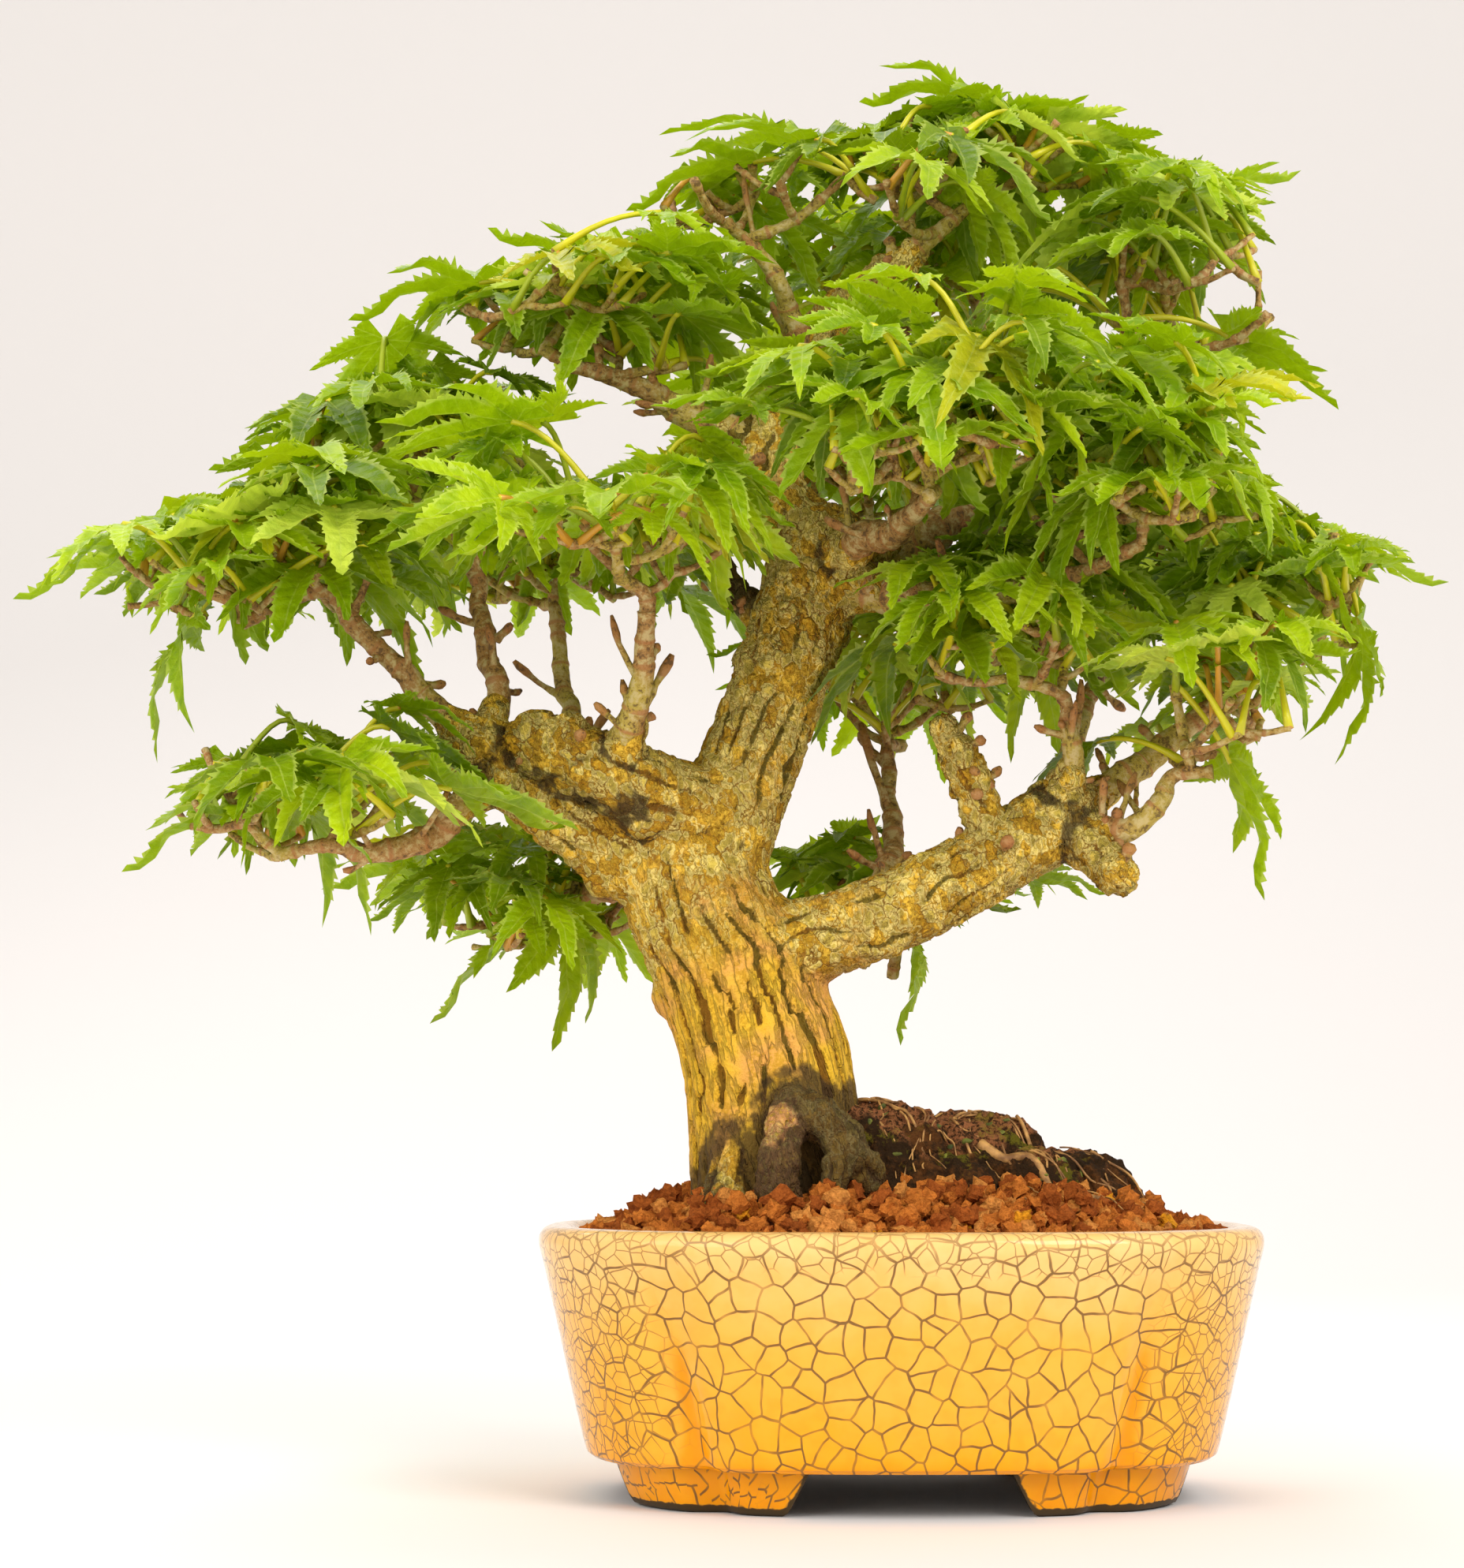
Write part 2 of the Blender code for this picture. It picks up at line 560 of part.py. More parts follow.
class Room:
    """The space that a mass may fill: its own share of the crown, with the limbs and the sky left out."""

    def __init__(self, limb_tree):
        self.tree = limb_tree
        self.weight = np.array((1.0, 1.0, HEIGHT_WEIGHT))
        self.middles = np.array([mass.middle for mass in MASSES]) * self.weight
        self.sizes = np.array([mass.half[0] for mass in MASSES])
        self.placed = []
        self.spheres = np.zeros((0, 4))

    def holds(self, mass, points, overreach=0.0):
        """Whether all points lie in the mass's share of the crown, or no further outside it than allowed."""
        points = np.asarray(points, float)
        own = MASSES.index(mass)
        scaled = points * self.weight
        reach = ((scaled[:, None, :] - self.middles[None]) ** 2).sum(axis=2) - self.sizes**2
        apart = 2.0 * np.linalg.norm(self.middles - self.middles[own], axis=1)
        for other in range(len(MASSES)):
            if other != own and np.any((reach[:, other] - reach[:, own]) / apart[other] < -overreach):
                return False
        return bool(np.all(points > CROWN_LOW) and np.all(points < CROWN_HIGH))

    def add(self, solid, owner, kind):
        """Remembers a solid that has its place, so that none of another mass crosses it."""
        middle = solid[0].mean(axis=0)
        radius = np.linalg.norm(solid[0] - middle, axis=1).max()
        self.spheres = np.vstack((self.spheres, (*middle, radius)))
        self.placed.append((owner, kind, BVHTree.FromPolygons(*solid)))

    def crossed(self, solid, owner, own_kinds, but=-1):
        """Whether a solid crosses one of another mass, or one of its own mass of the kinds given."""
        middle = solid[0].mean(axis=0)
        radius = np.linalg.norm(solid[0] - middle, axis=1).max()
        far = np.linalg.norm(self.spheres[:, :3] - middle, axis=1)
        tree = BVHTree.FromPolygons(*solid)
        for index in np.flatnonzero(far < self.spheres[:, 3] + radius):
            whose, kind, other = self.placed[index]
            if (whose != owner or kind in own_kinds) and index != but and tree.overlap(other):
                return True
        return False

    def shows_sky(self, points):
        """Whether any point hides open sky, seen from the viewing point."""
        points = np.asarray(points, float)
        points = np.concatenate((points, (points + points.mean(axis=0)) / 2.0))
        eye = np.array(VIEW_POINT)
        share = -eye[1] / (points[:, 1] - eye[1])
        seen = eye + (points - eye) * share[:, None]
        for hole in WINDOWS:
            off = ((seen[:, 0] - hole.x) / hole.half_x) ** 2 + ((seen[:, 2] - hole.z) / hole.half_z) ** 2
            if np.any(off < 1.0):
                return True
        return False

    def touches_limb(self, points, faces):
        """Whether a small solid meets or nearly meets a limb."""
        places = [Vector(p) * MM for p in points]
        if BVHTree.FromPolygons(places, faces).overlap(self.tree):
            return True
        return any(self.tree.find_nearest(p, LIMB_MARGIN * MM)[0] is not None for p in places)


def unit(vector):
    """The vector at length one."""
    return np.asarray(vector, float) / np.linalg.norm(vector)


def spokes_round(axis, radius):
    """Three spokes at right angles to an axis, the first one upmost."""
    up = unit(np.array((0.0, 0.0, 1.0)) - np.array(axis) * axis[2])
    side = np.cross(axis, up)
    turns = np.radians((0.0, 120.0, 240.0))
    return (np.outer(np.cos(turns), up) + np.outer(np.sin(turns), side)) * radius


def twig(places, radii):
    """A three-sided closed tube through a few places, with its points and faces."""
    ways = [unit(b - a) for a, b in zip(places, places[1:])]
    axes = [ways[0]] + [unit(a + b) for a, b in zip(ways, ways[1:])] + [ways[-1]]
    points = np.concatenate([p + spokes_round(axis, r) for p, axis, r in zip(places, axes, radii)])
    last = len(points) - 3
    faces = [(2, 1, 0), (last, last + 1, last + 2)]
    for ring in range(0, last, 3):
        faces += [(ring + k, ring + (k + 1) % 3, ring + (k + 1) % 3 + 3, ring + k + 3) for k in range(3)]
    return points, faces


def leaf(foot, hub, forward, up, size):
    """A lobed leaf and its stalk in one: a double pyramid over the lobes' outline, whose base is the stalk."""
    half = [(math.radians(turn), reach) for turn, reach in LOBES]
    forward = unit(forward)
    across = unit(np.cross(up, forward))
    frame = np.array((forward, across, np.cross(forward, across)))
    left = [(reach * math.cos(turn), reach * math.sin(turn), -LEAF_DROOP * reach**2 / LOBES[0][1])
            for turn, reach in half]
    right = [(x, -y, z) for x, y, z in reversed(left[1:])]
    blade = np.array(left + right + [(LEAF_HEART, 0.0, LEAF_THICK / 2), (LEAF_HEART, 0.0, -LEAF_THICK / 2)])
    thin = np.array([(0.0, 0.0, STALK_RADIUS), (0.0, STALK_RADIUS, -STALK_RADIUS / 2),
                     (0.0, -STALK_RADIUS, -STALK_RADIUS / 2)])
    stalk_way = unit(hub - foot)
    lift = unit(frame[2] - stalk_way * np.dot(frame[2], stalk_way))
    stalk_frame = np.array((stalk_way, np.cross(lift, stalk_way), lift))
    points = np.concatenate((hub + blade @ frame * size, hub + thin @ frame, foot + thin @ stalk_frame))
    rim, count = list(range(len(left))), len(blade) - 2
    top, bottom, crest, port, board = count, count + 1, count + 2, count + 3, count + 4
    upper = rim + [port, crest, board] + list(range(len(left), count))
    lower = rim + [port, board] + list(range(len(left), count))
    faces = [(a, b, top) for a, b in zip(upper, upper[1:] + upper[:1])]
    faces += [(b, a, bottom) for a, b in zip(lower, lower[1:] + lower[:1])]
    faces += [(b, a, a + 3, b + 3) for a, b in ((port, crest), (crest, board), (board, port))]
    faces.append((port + 3, board + 3, crest + 3))
    return points, faces


class Growth:
    """The twigs and leaves of one mass, grown by a seeded rule from the tip of its bough."""

    def __init__(self, mass, path, room):
        self.mass = mass
        self.room = room
        self.dice = random.Random(f"{SEED} {mass.name}")
        self.solids = []
        self.nodes = []
        self.grow_stem(path)

    def grow_stem(self, path):
        """The stem goes on from the bough's tip and bends to just under the mass's middle."""
        heading = unit(path[-1, :3] - path[-2, :3])
        start = path[-1, :3] + heading * GAP
        heart = np.array(self.mass.middle) - (0.0, 0.0, HEART_DROP * self.mass.half[2])
        bend = start + heading * max(0.35 * np.linalg.norm(heart - start), 3.0)
        thick = path[-1, 3] * 0.85
        stem = twig((start, bend, heart), (thick, thick * 0.85, TWIG_RADIUS * 1.2))
        if not self.room.holds(self.mass, stem[0]):
            raise ValueError(f"the stem of {self.mass.name} leaves its space")
        self.add(stem, "wood")
        self.start = start
        self.nodes = [bend, (bend + heart) / 2.0, heart]

    def add(self, solid, kind):
        """Keeps a solid, and its place in the room."""
        self.solids.append(solid)
        self.room.add(solid, self.mass.name, kind)

    def allowed(self, solid, own_kinds, overreach, but=-1):
        """Whether a solid keeps to the mass's space, and clear of the limbs and of what it must not cross."""
        points, faces = solid
        if not self.room.holds(self.mass, points, overreach) or self.room.touches_limb(points, faces):
            return False
        return not self.room.crossed(solid, self.mass.name, own_kinds, but)

    def grow_twig(self, tip):
        """A twig to a shoot's tip from the nearest part of the tree, and the way it ends, or none."""
        nearest = min(self.nodes, key=lambda node: np.linalg.norm(node - tip))
        span = np.linalg.norm(tip - nearest)
        if span < SHORTEST_TWIG:
            return None
        knee = (nearest + tip) / 2.0 - (0.0, 0.0, 0.1 * span)
        solid = twig((nearest, knee, tip), (TWIG_RADIUS * 1.15, TWIG_RADIUS, TWIG_RADIUS * 0.95))
        if not self.allowed(solid, ("blade",), 0.0):
            return None
        self.add(solid, "wood")
        self.nodes += [knee, tip]
        return unit(tip - knee)

    def grow_leaf(self, foot, hub, forward, up, size):
        """A leaf on its stalk from a foot in its twig, unless it would leave the space or cross another."""
        solid = leaf(foot, hub, forward, up, size)
        own_twig = len(self.room.placed) - 1 - self.on_shoot
        if self.room.shows_sky(solid[0]) or not self.allowed(solid, ("blade", "wood"), OVERREACH, own_twig):
            return False
        self.add(solid, "blade")
        self.on_shoot += 1
        return True

    def shoot_leaves(self, tip, way):
        """Leaves round the end of a shoot, their feet one behind another, their blades level or hanging."""
        out = unit(tip - np.array(self.mass.middle) + (0.0, 0.0, 0.5 * self.mass.half[2]))
        first = self.dice.uniform(0.0, 360.0)
        self.on_shoot = 0
        for k in range(LEAVES_A_SHOOT):
            foot = tip - way * (STALK_RADIUS * 0.5 + LEAF_STEP * k)
            for _ in range(LEAF_TRIES):
                turn = math.radians(first + 360.0 * k / LEAVES_A_SHOOT + self.dice.uniform(-40.0, 40.0))
                level = np.array((math.cos(turn), math.sin(turn), 0.0))
                heading = unit(level + out * 0.5 + (0.0, 0.0, self.dice.uniform(0.0, 0.9)))
                hub = foot + heading * STALK_LENGTH * self.dice.uniform(0.7, 1.3)
                forward = unit(level + out * (0.5, 0.5, 0.0) + (0.0, 0.0, self.dice.uniform(-0.5, 0.0)))
                up = unit((0.0, 0.0, 1.0) + level * self.dice.uniform(-0.1, 0.35))
                if self.grow_leaf(foot, hub, forward, up, self.dice.uniform(*LEAF_SIZES)):
                    break

    def reach_leaf(self, goal):
        """A leaf whose longest lobe ends at a given place, and the shoot that carries it."""
        goal = np.array(goal)
        away = unit(goal - np.array(self.mass.middle))
        forward = unit(away * (1.0, 1.0, 0.6) - (0.0, 0.0, 0.1))
        up = unit(np.array((0.0, 0.0, 1.0)) - forward * forward[2])
        across = np.cross(up, forward)
        hub = goal - (forward - np.cross(forward, across) * LEAF_DROOP) * LOBES[0][1]
        tip = hub - unit(forward + (0.0, 0.0, 0.35)) * STALK_LENGTH
        way = self.grow_twig(tip)
        if way is not None:
            self.on_shoot = 0
            self.grow_leaf(tip - way * STALK_RADIUS, hub, forward, up, 1.0)

    def grow(self):
        """The whole mass: its furthest leaves first, then shoots spread evenly through its space."""
        for goal in self.mass.reach:
            self.reach_leaf(goal)
        golden = math.pi * (3.0 - math.sqrt(5.0))
        tips = []
        for k in range(self.mass.shoots):
            height = 0.95 - 1.35 * (k + 0.5) / self.mass.shoots
            turn = k * golden + self.dice.uniform(-0.3, 0.3)
            flat = math.sqrt(1.0 - height**2)
            way = np.array((math.cos(turn) * flat, math.sin(turn) * flat, height))
            tips.append(np.array(self.mass.middle) + way * self.mass.half * SHOOT_DEPTH)
        tips.sort(key=lambda tip: np.linalg.norm(tip - self.start))
        for tip in tips:
            way = self.grow_twig(tip)
            if way is not None:
                self.shoot_leaves(tip, way)

    def fused(self, collection):
        """All twigs and leaves joined into one closed solid."""
        things = [mesh_object(f"{self.mass.name}_{k}", points, faces, collection)
                  for k, (points, faces) in enumerate(self.solids)]
        whole = combine(things[0], "UNION", things[1:], solver="MANIFOLD")
        whole.name = self.mass.name
        whole.data.name = self.mass.name
        return dressed(whole, "leaves")


def foliage(paths, obstacles, collection):
    """Every mass of leaves on its bough."""
    room = Room(surface_tree(obstacles))
    for mass in MASSES:
        growth = Growth(mass, paths[mass.bough], room)
        growth.grow()
        growth.fused(collection)


def shade_smooth(thing):
    """Rounds the shading of a turned or lofted piece, and keeps its sharp edges."""
    thing.data.shade_smooth()
    thing.data.set_sharp_from_angle(angle=math.radians(40.0))


def main():
    """Clears the scene and builds the plant in its pot."""
    for thing in list(bpy.data.objects):
        remove(thing)
    plant = bpy.data.collections.new("maple_bonsai")
    bpy.context.scene.collection.children.link(plant)
    bowl = pot_body(plant)
    feet = [pot_foot(f"pot_foot_{a}_{b}", side, back, plant)
            for a, side in (("left", -1.0), ("right", 1.0)) for b, back in (("front", -1.0), ("back", 1.0))]
    filling = soil(plant)
    paths, made = limbs(plant)
    roots = old_roots(paths, plant)
    knob = root_knob(paths, roots, plant)
    for thing in (bowl, filling, *made.values()):
        shade_smooth(thing)
    foliage(paths, [bowl, filling, roots, knob, *feet, *made.values()], plant)


main()
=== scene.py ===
"""The looks of a dwarf maple bonsai in its lobed, crackle-glazed pot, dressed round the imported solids.

Lengths are in millimetres and become metres where a mesh is made. X runs right, Y back and Z up.
"""

import json
import logging
import math
from dataclasses import dataclass, field
from enum import Enum

import bpy
import numpy as np
from bpy.types import Material, Mesh, NodeSocket, Object
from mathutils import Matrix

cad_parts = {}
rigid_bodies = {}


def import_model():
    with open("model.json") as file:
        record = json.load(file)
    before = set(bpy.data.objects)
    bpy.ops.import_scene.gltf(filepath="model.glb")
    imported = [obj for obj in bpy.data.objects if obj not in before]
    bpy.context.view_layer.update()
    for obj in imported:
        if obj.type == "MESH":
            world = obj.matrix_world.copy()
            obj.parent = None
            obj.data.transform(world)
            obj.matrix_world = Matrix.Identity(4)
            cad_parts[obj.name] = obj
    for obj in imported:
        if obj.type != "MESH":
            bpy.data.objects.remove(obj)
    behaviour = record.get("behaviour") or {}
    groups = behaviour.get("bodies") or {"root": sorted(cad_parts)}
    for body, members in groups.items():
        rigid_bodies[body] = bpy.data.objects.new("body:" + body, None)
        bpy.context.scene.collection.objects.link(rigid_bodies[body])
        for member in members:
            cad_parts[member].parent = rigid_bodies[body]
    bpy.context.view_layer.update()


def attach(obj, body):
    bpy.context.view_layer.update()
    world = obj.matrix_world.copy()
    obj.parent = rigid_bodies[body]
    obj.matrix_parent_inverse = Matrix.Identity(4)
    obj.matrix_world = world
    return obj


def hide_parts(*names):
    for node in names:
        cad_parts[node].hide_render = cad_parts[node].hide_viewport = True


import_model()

log = logging.getLogger("maple_bonsai")

Array = np.ndarray
Paint = tuple[float, float, float, float]

MM = 0.001
SEED = 1729

# The camera: its place, how far it looks up, and its lens on a 36 mm sensor
EYE = (0.0, -740.0, 85.0)
LOOK_UP = math.radians(6.43)
LENS = 70.6

# The pot: an oblong with four lobes, on four corner feet
POT_X = 39.5
POT_HALF_WIDTH = 85.0
POT_HALF_DEPTH = 68.0
POT_TOP = 62.8
POT_SQUARENESS = 2.7
GROOVE_TURN = math.radians(54.0)
GROOVE_SPREAD = math.radians(5.5)

# The trunk: x, y, z and radius from below the soil up to the fork
TRUNK = (
    (12.5, -2.0, 56.0, 21.5),
    (10.5, -1.0, 76.0, 20.0),
    (8.5, 0.0, 100.0, 19.8),
    (1.0, 1.0, 121.0, 18.2),
    (-8.0, 1.0, 140.0, 17.2),
    (-13.0, 1.0, 153.0, 12.0),
)

# The crown's box, and how much a height counts against a width where two masses meet
CROWN_LOW = (-173.5, -112.0, 100.0)
CROWN_HIGH = (175.5, 112.0, 345.5)
HEIGHT_WEIGHT = 1.35
OVERREACH = 12.0

# How far a blade's middle lies from its hub, and how crowded a place counts at most
BLADE_MIDDLE = 11.0
ROOMY = 40.0


# Numbers and noise

def unit(vectors: Array) -> Array:
    """The vectors along the last axis, each divided by its length."""
    vectors = np.asarray(vectors, float)
    return vectors / np.maximum(np.linalg.norm(vectors, axis=-1, keepdims=True), 1e-12)


def cell_values(cells: Array, seed: int) -> Array:
    """A repeatable number from 0 to 1 for each whole-numbered cell.

    Args:
        cells: whole numbers, three to a cell, along the last axis.
        seed: which of the many patterns is meant.

    Returns:
        One number for each cell.
    """
    mixed = cells.astype(np.int64) @ np.array((73856093, 19349663, 83492791)) + seed * 2654435761
    mixed = ((mixed ^ (mixed >> 13)) * 1274126177) & 0x7FFFFFFF
    mixed = ((mixed ^ (mixed >> 15)) * 2246822519) & 0x7FFFFFFF
    return ((mixed ^ (mixed >> 16)) & 0xFFFFF) / 0xFFFFF


def noise(points: Array, seed: int) -> Array:
    """Smooth noise: the values at a cell's eight corners, blended by 3t² - 2t³ along each axis.

    Args:
        points: places, in cells.
        seed: which pattern is meant.

    Returns:
        A value from -1 to 1 at each place.
    """
    cell = np.floor(points)
    t = points - cell
    t = t * t * (3.0 - 2.0 * t)
    total = np.zeros(points.shape[:-1])
    for corner in np.ndindex(2, 2, 2):
        share = np.where(np.array(corner, bool), t, 1.0 - t).prod(axis=-1)
        total += share * cell_values(cell + corner, seed)
    return 2.0 * total - 1.0


def rough_noise(points: Array, seed: int, octaves: int = 3) -> Array:
    """Noise added to itself at twice the pace and half the strength, a few times over, from about -1 to 1."""
    layers = [noise(points * 2.0**k + 17.0 * k, seed + k) / 2.0**k for k in range(octaves)]
    return np.sum(layers, axis=0) / 1.6


def cellular(points: Array, seed: int) -> tuple[Array, Array]:
    """Cells round scattered seeds: each place belongs to the nearest of the seeds in the 27 cells round it.

    Args:
        points: places, in cells.
        seed: which pattern is meant.

    Returns:
        How much further the second nearest seed is than the nearest, and a number from 0 to 1 for each cell.
    """
    cell = np.floor(points)
    nearest = np.full(points.shape[:-1], 9.0)
    second = nearest.copy()
    value = np.zeros(points.shape[:-1])
    for step in np.ndindex(3, 3, 3):
        there = cell + step - 1.0
        place = there + np.stack([cell_values(there, seed + k) for k in range(3)], axis=-1)
        far = np.linalg.norm(points - place, axis=-1)
        closer = far < nearest
        second = np.where(closer, nearest, np.minimum(second, far))
        value = np.where(closer, cell_values(there, seed + 3), value)
        nearest = np.where(closer, far, nearest)
    return second - nearest, value


def smooth_step(low: float, high: float, values: Array) -> Array:
    """0 below low, 1 above high, and 3t² - 2t³ between them."""
    t = np.clip((values - low) / (high - low), 0.0, 1.0)
    return t * t * (3.0 - 2.0 * t)


def smooth_path(rows: Array, steps: int) -> Array:
    """A smooth curve through rows of numbers, by the mean-slope spline.

    Args:
        rows: the rows that the curve passes through.
        steps: how many steps there are from one row to the next.

    Returns:
        The rows of the curve.
    """
    rows = np.asarray(rows, float)
    slopes = np.gradient(rows, axis=0)
    t = np.linspace(0.0, 1.0, steps, endpoint=False)[:, None]
    blend = (2 * t**3 - 3 * t**2 + 1, t**3 - 2 * t**2 + t, -2 * t**3 + 3 * t**2, t**3 - t**2)
    pieces = [blend[0] * a + blend[1] * u + blend[2] * b + blend[3] * v
              for a, b, u, v in zip(rows, rows[1:], slopes, slopes[1:])]
    return np.concatenate(pieces + [rows[-1:]])


# Meshes

@dataclass
class Surface:
    """Points with faces between them, and what is known at each point and face."""

    points: Array
    faces: list[Array]
    values: dict[str, Array] = field(default_factory=dict)
    maps: dict[str, list[Array]] = field(default_factory=dict)
    slots: list[Array] | None = None

    def piece(self, name: str, materials: list[Material]) -> Object:
        """Makes the object, with its place in its mesh.

        Args:
            name: the object's name.
            materials: its materials, in the order that the slots count them.

        Returns:
            The new object, smoothly shaded.
        """
        mesh = bpy.data.meshes.new(name)
        mesh.vertices.add(len(self.points))
        mesh.vertices.foreach_set("co", (self.points * MM).astype(np.float32).ravel())
        corners = np.concatenate([group.ravel() for group in self.faces])
        sizes = np.concatenate([np.full(len(group), group.shape[1]) for group in self.faces])
        mesh.loops.add(len(corners))
        mesh.loops.foreach_set("vertex_index", corners.astype(np.int32))
        mesh.polygons.add(len(sizes))
        mesh.polygons.foreach_set("loop_start", (np.cumsum(sizes) - sizes).astype(np.int32))
        mesh.polygons.foreach_set("use_smooth", np.ones(len(sizes), bool))
        if self.slots is not None:
            mesh.polygons.foreach_set("material_index", np.concatenate(self.slots).astype(np.int32))
        for key, groups in self.maps.items():
            layer = mesh.uv_layers.new(name=key)
            layer.data.foreach_set("uv", np.concatenate(groups).astype(np.float32).ravel())
        mesh.update(calc_edges=True)
        for key, numbers in self.values.items():
            set_values(mesh, key, numbers)
        for material in materials:
            mesh.materials.append(material)
        thing = bpy.data.objects.new(name, mesh)
        bpy.context.scene.collection.objects.link(thing)
        return thing


def set_values(mesh: Mesh, name: str, numbers: Array) -> None:
    """Keeps one number for each point of a mesh, under a name."""
    attribute = mesh.attributes.get(name) or mesh.attributes.new(name, "FLOAT", "POINT")
    attribute.data.foreach_set("value", numbers.astype(np.float32))


def joined(parts: list[Surface]) -> Surface:
    """Several surfaces as one.

    Args:
        parts: the surfaces, which all know the same values.

    Returns:
        One surface, with the faces numbered on.
    """
    starts = np.cumsum([0] + [len(part.points) for part in parts[:-1]])
    faces = [group + start for part, start in zip(parts, starts) for group in part.faces]
    values = {key: np.concatenate([part.values[key] for part in parts]) for key in parts[0].values}
    maps = {key: [group for part in parts for group in part.maps[key]] for key in parts[0].maps}
    slots = None
    if parts[0].slots is not None:
        slots = [group for part in parts for group in part.slots]
    return Surface(np.concatenate([part.points for part in parts]), faces, values, maps, slots)


def seat(piece: Object, slot: str, *nodes: str) -> Object:
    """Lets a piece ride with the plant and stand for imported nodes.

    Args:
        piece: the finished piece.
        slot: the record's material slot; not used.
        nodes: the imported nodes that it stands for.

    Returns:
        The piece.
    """
    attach(piece, "root")
    if nodes:
        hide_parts(*nodes)
    faces = sum(len(p.vertices) - 2 for p in piece.data.polygons)
    log.info("%s: %d triangles, stands for %d nodes", piece.name, faces, len(nodes))
    return piece


def lengths_along(path: Array) -> Array:
    """The length along a path from its start to each of its places."""
    return np.concatenate(([0.0], np.cumsum(np.linalg.norm(np.diff(path, axis=0), axis=1))))


def rows_at(where: Array | float, lengths: Array, rows: Array) -> Array:
    """The rows at some lengths, on the straight lines between the rows that are known."""
    return np.stack([np.interp(where, lengths, column) for column in rows.T], axis=-1)


def loft(rings: int, sides: int) -> tuple[Array, Array]:
    """The faces of a surface through closed rings of points.

    Args:
        rings: how many rings there are.
        sides: how many points a ring has.

    Returns:
        The quads between neighbouring rings, and the faces that close the first ring and the last.
    """
    number = np.arange(rings * sides).reshape(rings, sides)
    after = np.roll(number, -1, axis=1)
    quads = np.stack((number[:-1], after[:-1], after[1:], number[1:]), axis=-1).reshape(-1, 4)
    return quads, np.stack((number[0, ::-1], number[-1]))


def sweep(paths: Array, radii: Array, sides: int) -> Surface:
    """Round tubes along paths: at each station a ring, radius times (cos a, sin a) across the path.

    Args:
        paths: places, as tubes by stations by three.
        radii: radii, as tubes by stations.
        sides: how many points a ring has.

    Returns:
        The closed tubes.
    """
    count, stations = radii.shape
    ways = unit(np.gradient(paths, axis=1))
    chords = unit(paths[:, -1] - paths[:, 0])
    spare = np.eye(3)[np.abs(chords).argmin(axis=1)][:, None, :]
    first = unit(spare - ways * (ways * spare).sum(axis=2, keepdims=True))
    second = np.cross(ways, first)
    turn = np.linspace(0.0, 2.0 * math.pi, sides, endpoint=False)
    ring = first[:, :, None] * np.cos(turn)[:, None] + second[:, :, None] * np.sin(turn)[:, None]
    points = paths[:, :, None] + ring * radii[:, :, None, None]
    quads, caps = loft(stations, sides)
    starts = np.arange(count)[:, None, None] * stations * sides
    caps = (caps + starts).swapaxes(0, 1).reshape(-1, sides)
    return Surface(points.reshape(-1, 3), [(quads + starts).reshape(-1, 4), caps])


def ball(middle: Array, half: Array, rows: int = 12, columns: int = 20) -> Surface:
    """A closed ellipsoid: middle + half times (sin v cos u, sin v sin u, cos v), its poles as one point each.

    Args:
        middle: its middle.
        half: its half sizes.
        rows: how many bands it has from pole to pole.
        columns: how many faces a band has.

    Returns:
        The ellipsoid.
    """
    v = np.linspace(0.0, math.pi, rows + 1)[1:-1, None]
    u = np.linspace(0.0, 2.0 * math.pi, columns, endpoint=False)[None]
    grid = np.stack((np.sin(v) * np.cos(u), np.sin(v) * np.sin(u), np.cos(v) + 0.0 * u), axis=-1)
    points = np.concatenate((grid.reshape(-1, 3), ((0.0, 0.0, 1.0), (0.0, 0.0, -1.0))))
    quads = loft(rows - 1, columns)[0][:, [0, 3, 2, 1]]
    ring = np.arange(columns)
    last = ring + (rows - 2) * columns
    top, low = np.full(columns, len(points) - 2), np.full(columns, len(points) - 1)
    caps = np.concatenate((np.column_stack((top, ring, np.roll(ring, -1))),
                           np.column_stack((low, np.roll(last, -1), last))))
    return Surface(np.asarray(middle) + points * half, [quads, caps])


# Shader graphs

def tint(red: int, green: int, blue: int) -> Paint:
    """A colour as a screen shows it, 0 to 255, turned into the light it stands for."""
    parts = [c / 255.0 for c in (red, green, blue)]
    light = [c / 12.92 if c <= 0.04045 else ((c + 0.055) / 1.055) ** 2.4 for c in parts]
    return (*light, 1.0)


